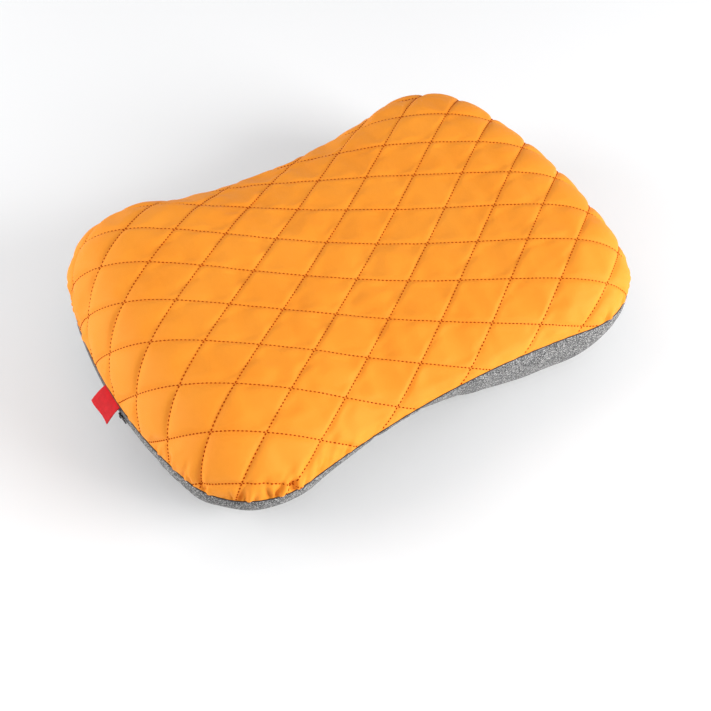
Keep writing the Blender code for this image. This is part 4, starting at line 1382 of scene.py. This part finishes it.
# %% [markdown]
# The raw edges of the slot and of the valve's hole would fray, so each is bound with a corded hem. The hem
# is a tube round the opening: a long loop on the curve of the end, and a ring about the valve.

# %% Hems
HEM_RADIUS = 0.75 * MM
HEM_CLEARANCE = 0.2 * MM  # from the slot's edge to the middle of its hem
HEM_STEPS = 40
RING_STEPS = 64


def inset_at(drop):
    """How far the plain underside has pulled in at this drop below the seam of an end."""
    return bowl_reach * (1 - sqrt(1 - (drop / SEAM_AT_ENDS) ** 2))


def slot_loop():
    """Points round the slot, on the knit's outer surface."""
    half = SLOT_HALF + HEM_CLEARANCE
    front, back_end = SLOT_FRONT - HEM_CLEARANCE, SLOT_BACK + HEM_CLEARANCE
    ys = np.linspace(front, back_end, HEM_STEPS)
    route = [(y, half) for y in ys] + [(back_end, z) for z in (half / 2, 0, -half / 2)]
    route += [(y, -half) for y in ys[::-1]] + [(front, z) for z in (-half / 2, 0, half / 2)]
    drop = SEAM_AT_ENDS - ZIP_Z
    return [on_bow(inset_at(drop - z) + 0.5 * MM, y, ZIP_Z + z) for y, z in route]


def valve_loop():
    """Points round the valve's hole, on the knit's outer surface."""
    route = []
    knit_tree = surface_tree(knit)
    out = VALVE.to_3x3() @ Vector((0, 0, 1))
    radius = HOLE_RADIUS + 0.5 * MM
    for n in range(RING_STEPS):
        turn = 2 * pi * n / RING_STEPS
        flat = VALVE @ Vector((radius * cos(turn), radius * sin(turn), 0))
        hit = knit_tree.ray_cast(flat + out * 15 * MM, -out)[0]
        route.append((hit or flat) - out * 0.3 * MM)
    return route


def ring_tube(name, line, radius, sides=8):
    """A closed ring of cord along a loop of points."""
    points, count = [], len(line)
    middle = sum(line, Vector()) / count
    for n, place in enumerate(line):
        ahead = (line[(n + 1) % count] - line[n - 1]).normalized()
        out = (place - middle).cross(ahead).normalized()
        across = ahead.cross(out)
        for m in range(sides):
            turn = 2 * pi * m / sides
            points.append(place + (across * cos(turn) + out * sin(turn)) * radius)
    made = new_object(name, points, band_faces(count, sides, closed=True))
    turn_outwards(made)
    return made


def tape_finish(name, dark, light, pitch=0.7 * MM):
    """A woven tape: fine ribs one way, broken up by the yarn."""
    made = new_finish(name, light, 0.85, Sheen_Weight=0.3)
    place = object_place(made)
    ribs = math(made, "MAXIMUM", stripes(made, place, "Y", pitch), stripes(made, place, "Z", pitch * 0.8))
    yarn = noise(made, place, 0.6 * MM, detail=3.0)
    two_tone(made, yarn, dark, light)
    to_shader(made, "Normal", bump(made, ribs, 0.08 * MM))
    return made


hem_material = tape_finish("grey_hem", (0.09, 0.09, 0.095), (0.20, 0.20, 0.21))
for name, loop in (("slot_hem", slot_loop()), ("valve_hem", valve_loop())):
    hem = ring_tube(name, loop, HEM_RADIUS)
    set_material(hem, hem_material)
    settle(hem, "cover", "binding")

# %% [markdown]
# The shell and the knit are closed with an overlocked seam. Its thread sits deep in the groove between
# the two cloths. It is a fine cord that follows the outline, coloured near black: partly the thread's own
# dark colour and partly painted shade of the groove, so from outside it is a thin dark line.

# %% Seam thread
SEAM_THREAD_RADIUS, SEAM_THREAD_INSET = 0.5 * MM, 0.9 * MM
closed = np.c_[station_x, station_y]
ahead = np.roll(closed, -1, 0) - np.roll(closed, 1, 0)
inwards = np.c_[-ahead[:, 1], ahead[:, 0]] / np.hypot(*ahead.T)[:, None]
seam_line = closed + inwards * SEAM_THREAD_INSET
seam_route = [Vector((x, y, seam_height(x, y))) for x, y in seam_line]
seam_cord_and_groove_shade = ring_tube("seam_cord_and_groove_shade", seam_route, SEAM_THREAD_RADIUS, sides=6)
# The cord's near black is partly the thread's colour and partly painted shade of the seam groove.
set_material(seam_cord_and_groove_shade, tape_finish("seam_thread_with_painted_groove_shade", (0.018, 0.016, 0.016), (0.05, 0.045, 0.042)))
settle(seam_cord_and_groove_shade, "cover", "binding")

# %% [markdown]
# ## Valve
# The valve is a stack of moulded rings on one axis: a flange welded to the bladder, a soft washer, a lid
# that opens the whole bore, and a small orange cap over the mouthpiece. The frame gives their exact shapes,
# and they get rounded edges here. The cap also gets a ring of grip ribs, which tell a thumb where to push.

# %% Valve pieces
grey_plastic = plastic_finish("grey_plastic", (0.035, 0.037, 0.042), (0.055, 0.058, 0.064), 0.45)
orange_plastic = plastic_finish("orange_plastic", (0.66, 0.13, 0.018), (0.76, 0.17, 0.026), 0.42)
black_rubber = plastic_finish("black_rubber", (0.01, 0.01, 0.01), (0.02, 0.02, 0.02), 0.72, depth=0.05 * MM)
VALVE_PIECES = (
    ("valve_base", "valve_collar", "cover", "valve_plastic", grey_plastic, 0.3 * MM),
    ("valve_washer", "valve_seal", "cover", "valve_rubber", black_rubber, 0.12 * MM),
    ("valve_lid", "valve_lid_round", "lid", "valve_plastic", grey_plastic, 0.3 * MM),
    ("inflate_cap", "inflate_cap_round", "cap", "cap_plastic", orange_plastic, 0.3 * MM),
    ("check_flap", "check_flap_soft", "flap", "valve_rubber", black_rubber, 0.1 * MM),
)
for node, name, body, slot, material, bevel in VALVE_PIECES:
    piece = rounded_copy(node, name, bevel)
    set_material(piece, material)
    settle(piece, body, slot, node)

# %% Grip ribs on the cap
RIB_COUNT, RIB_RADIUS = 22, 0.35 * MM
RIB_RING = 7.6 * MM
RIB_STRETCH = (3.4, 1, 0.9)  # long towards the cap's middle, and a little flat
cap_piece = bpy.data.objects["inflate_cap_round"]
cap_top = max((VALVE.inverted() @ v.co).z for v in cap_piece.data.vertices)
bpy.ops.object.select_all(action="DESELECT")
bpy.ops.mesh.primitive_uv_sphere_add(segments=10, ring_count=6, radius=RIB_RADIUS)
rib = bpy.context.object
rib.data.transform(Matrix.Diagonal((*RIB_STRETCH, 1)))
copies = []
for n in range(RIB_COUNT):
    turn = 2 * pi * n / RIB_COUNT
    copy = bpy.data.objects.new("rib_copy", rib.data.copy())
    bpy.context.scene.collection.objects.link(copy)
    place = Matrix.Rotation(turn, 4, "Z") @ Matrix.Translation((RIB_RING, 0, cap_top))
    copy.data.transform(VALVE @ place)
    copies.append(copy)
bpy.data.objects.remove(rib)
make_active(copies[0])
for copy in copies:
    copy.select_set(True)
bpy.ops.object.join()
ribs = bpy.context.object
ribs.name = "cap_grip_ribs"
ribs.data.shade_smooth()
set_material(ribs, orange_plastic)
settle(ribs, "cap", "cap_plastic")

# %% [markdown]
# ## Inner pieces
# The bladder, its ties, the lining, the binding and the zip's tapes keep the frame's shapes and get their
# own finishes. The bladder is a frosted film of polyurethane, so it is smooth and a little see-through.

# %% Inner finishes


def film_finish():
    made = new_finish("frosted_film", (0.60, 0.62, 0.64), 0.38, Transmission_Weight=0.25, IOR=1.45)
    place = object_place(made)
    frost = noise(made, place, 5 * MM, detail=5.0)
    two_tone(made, frost, (0.54, 0.56, 0.58), (0.68, 0.70, 0.72))
    to_shader(made, "Normal", bump(made, noise(made, place, 1.2 * MM, detail=3.0), 0.06 * MM))
    return made


def lining_finish():
    made = new_finish("orange_lining", (0.72, 0.23, 0.04), 0.85)
    place = object_place(made)
    weave = math(made, "MULTIPLY", stripes(made, place, "X", 0.8 * MM), stripes(made, place, "Y", 0.8 * MM))
    yarn = noise(made, place, 1.4 * MM, detail=3.0)
    two_tone(made, yarn, (0.60, 0.18, 0.03), (0.78, 0.27, 0.05))
    to_shader(made, "Normal", bump(made, weave, 0.1 * MM))
    return made


film = film_finish()
black_tape = tape_finish("black_tape", (0.008, 0.008, 0.009), (0.020, 0.020, 0.022))
INNER = {
    "quilt_backing": (lining_finish(), "lining"),
    "seam_binding": (tape_finish("grey_binding", (0.06, 0.06, 0.065), (0.13, 0.13, 0.135)), "binding"),
    "bladder_upper_sheet": (film, "bladder_film"),
    "bladder_lower_sheet": (film, "bladder_film"),
    "tie_strip_left": (film, "bladder_film"),
    "tie_strip_right": (film, "bladder_film"),
    "zip_tape_upper": (black_tape, "zip_tape"),
    "zip_tape_lower": (black_tape, "zip_tape"),
}
for node, (material, slot) in INNER.items():
    set_material(nodes[node], material)

# %% [markdown]
# ## Floor finish
# A plain pale floor, with a faint mottle so that it isn't one flat colour.

# %% Floor material
floor_material = new_finish("pale_floor", (0.95, 0.95, 0.95), 0.7)
mottle = noise(floor_material, object_place(floor_material), 0.5, detail=2.0)
two_tone(floor_material, mottle, (0.94, 0.94, 0.94), (0.96, 0.96, 0.96))
set_material(floor, floor_material)
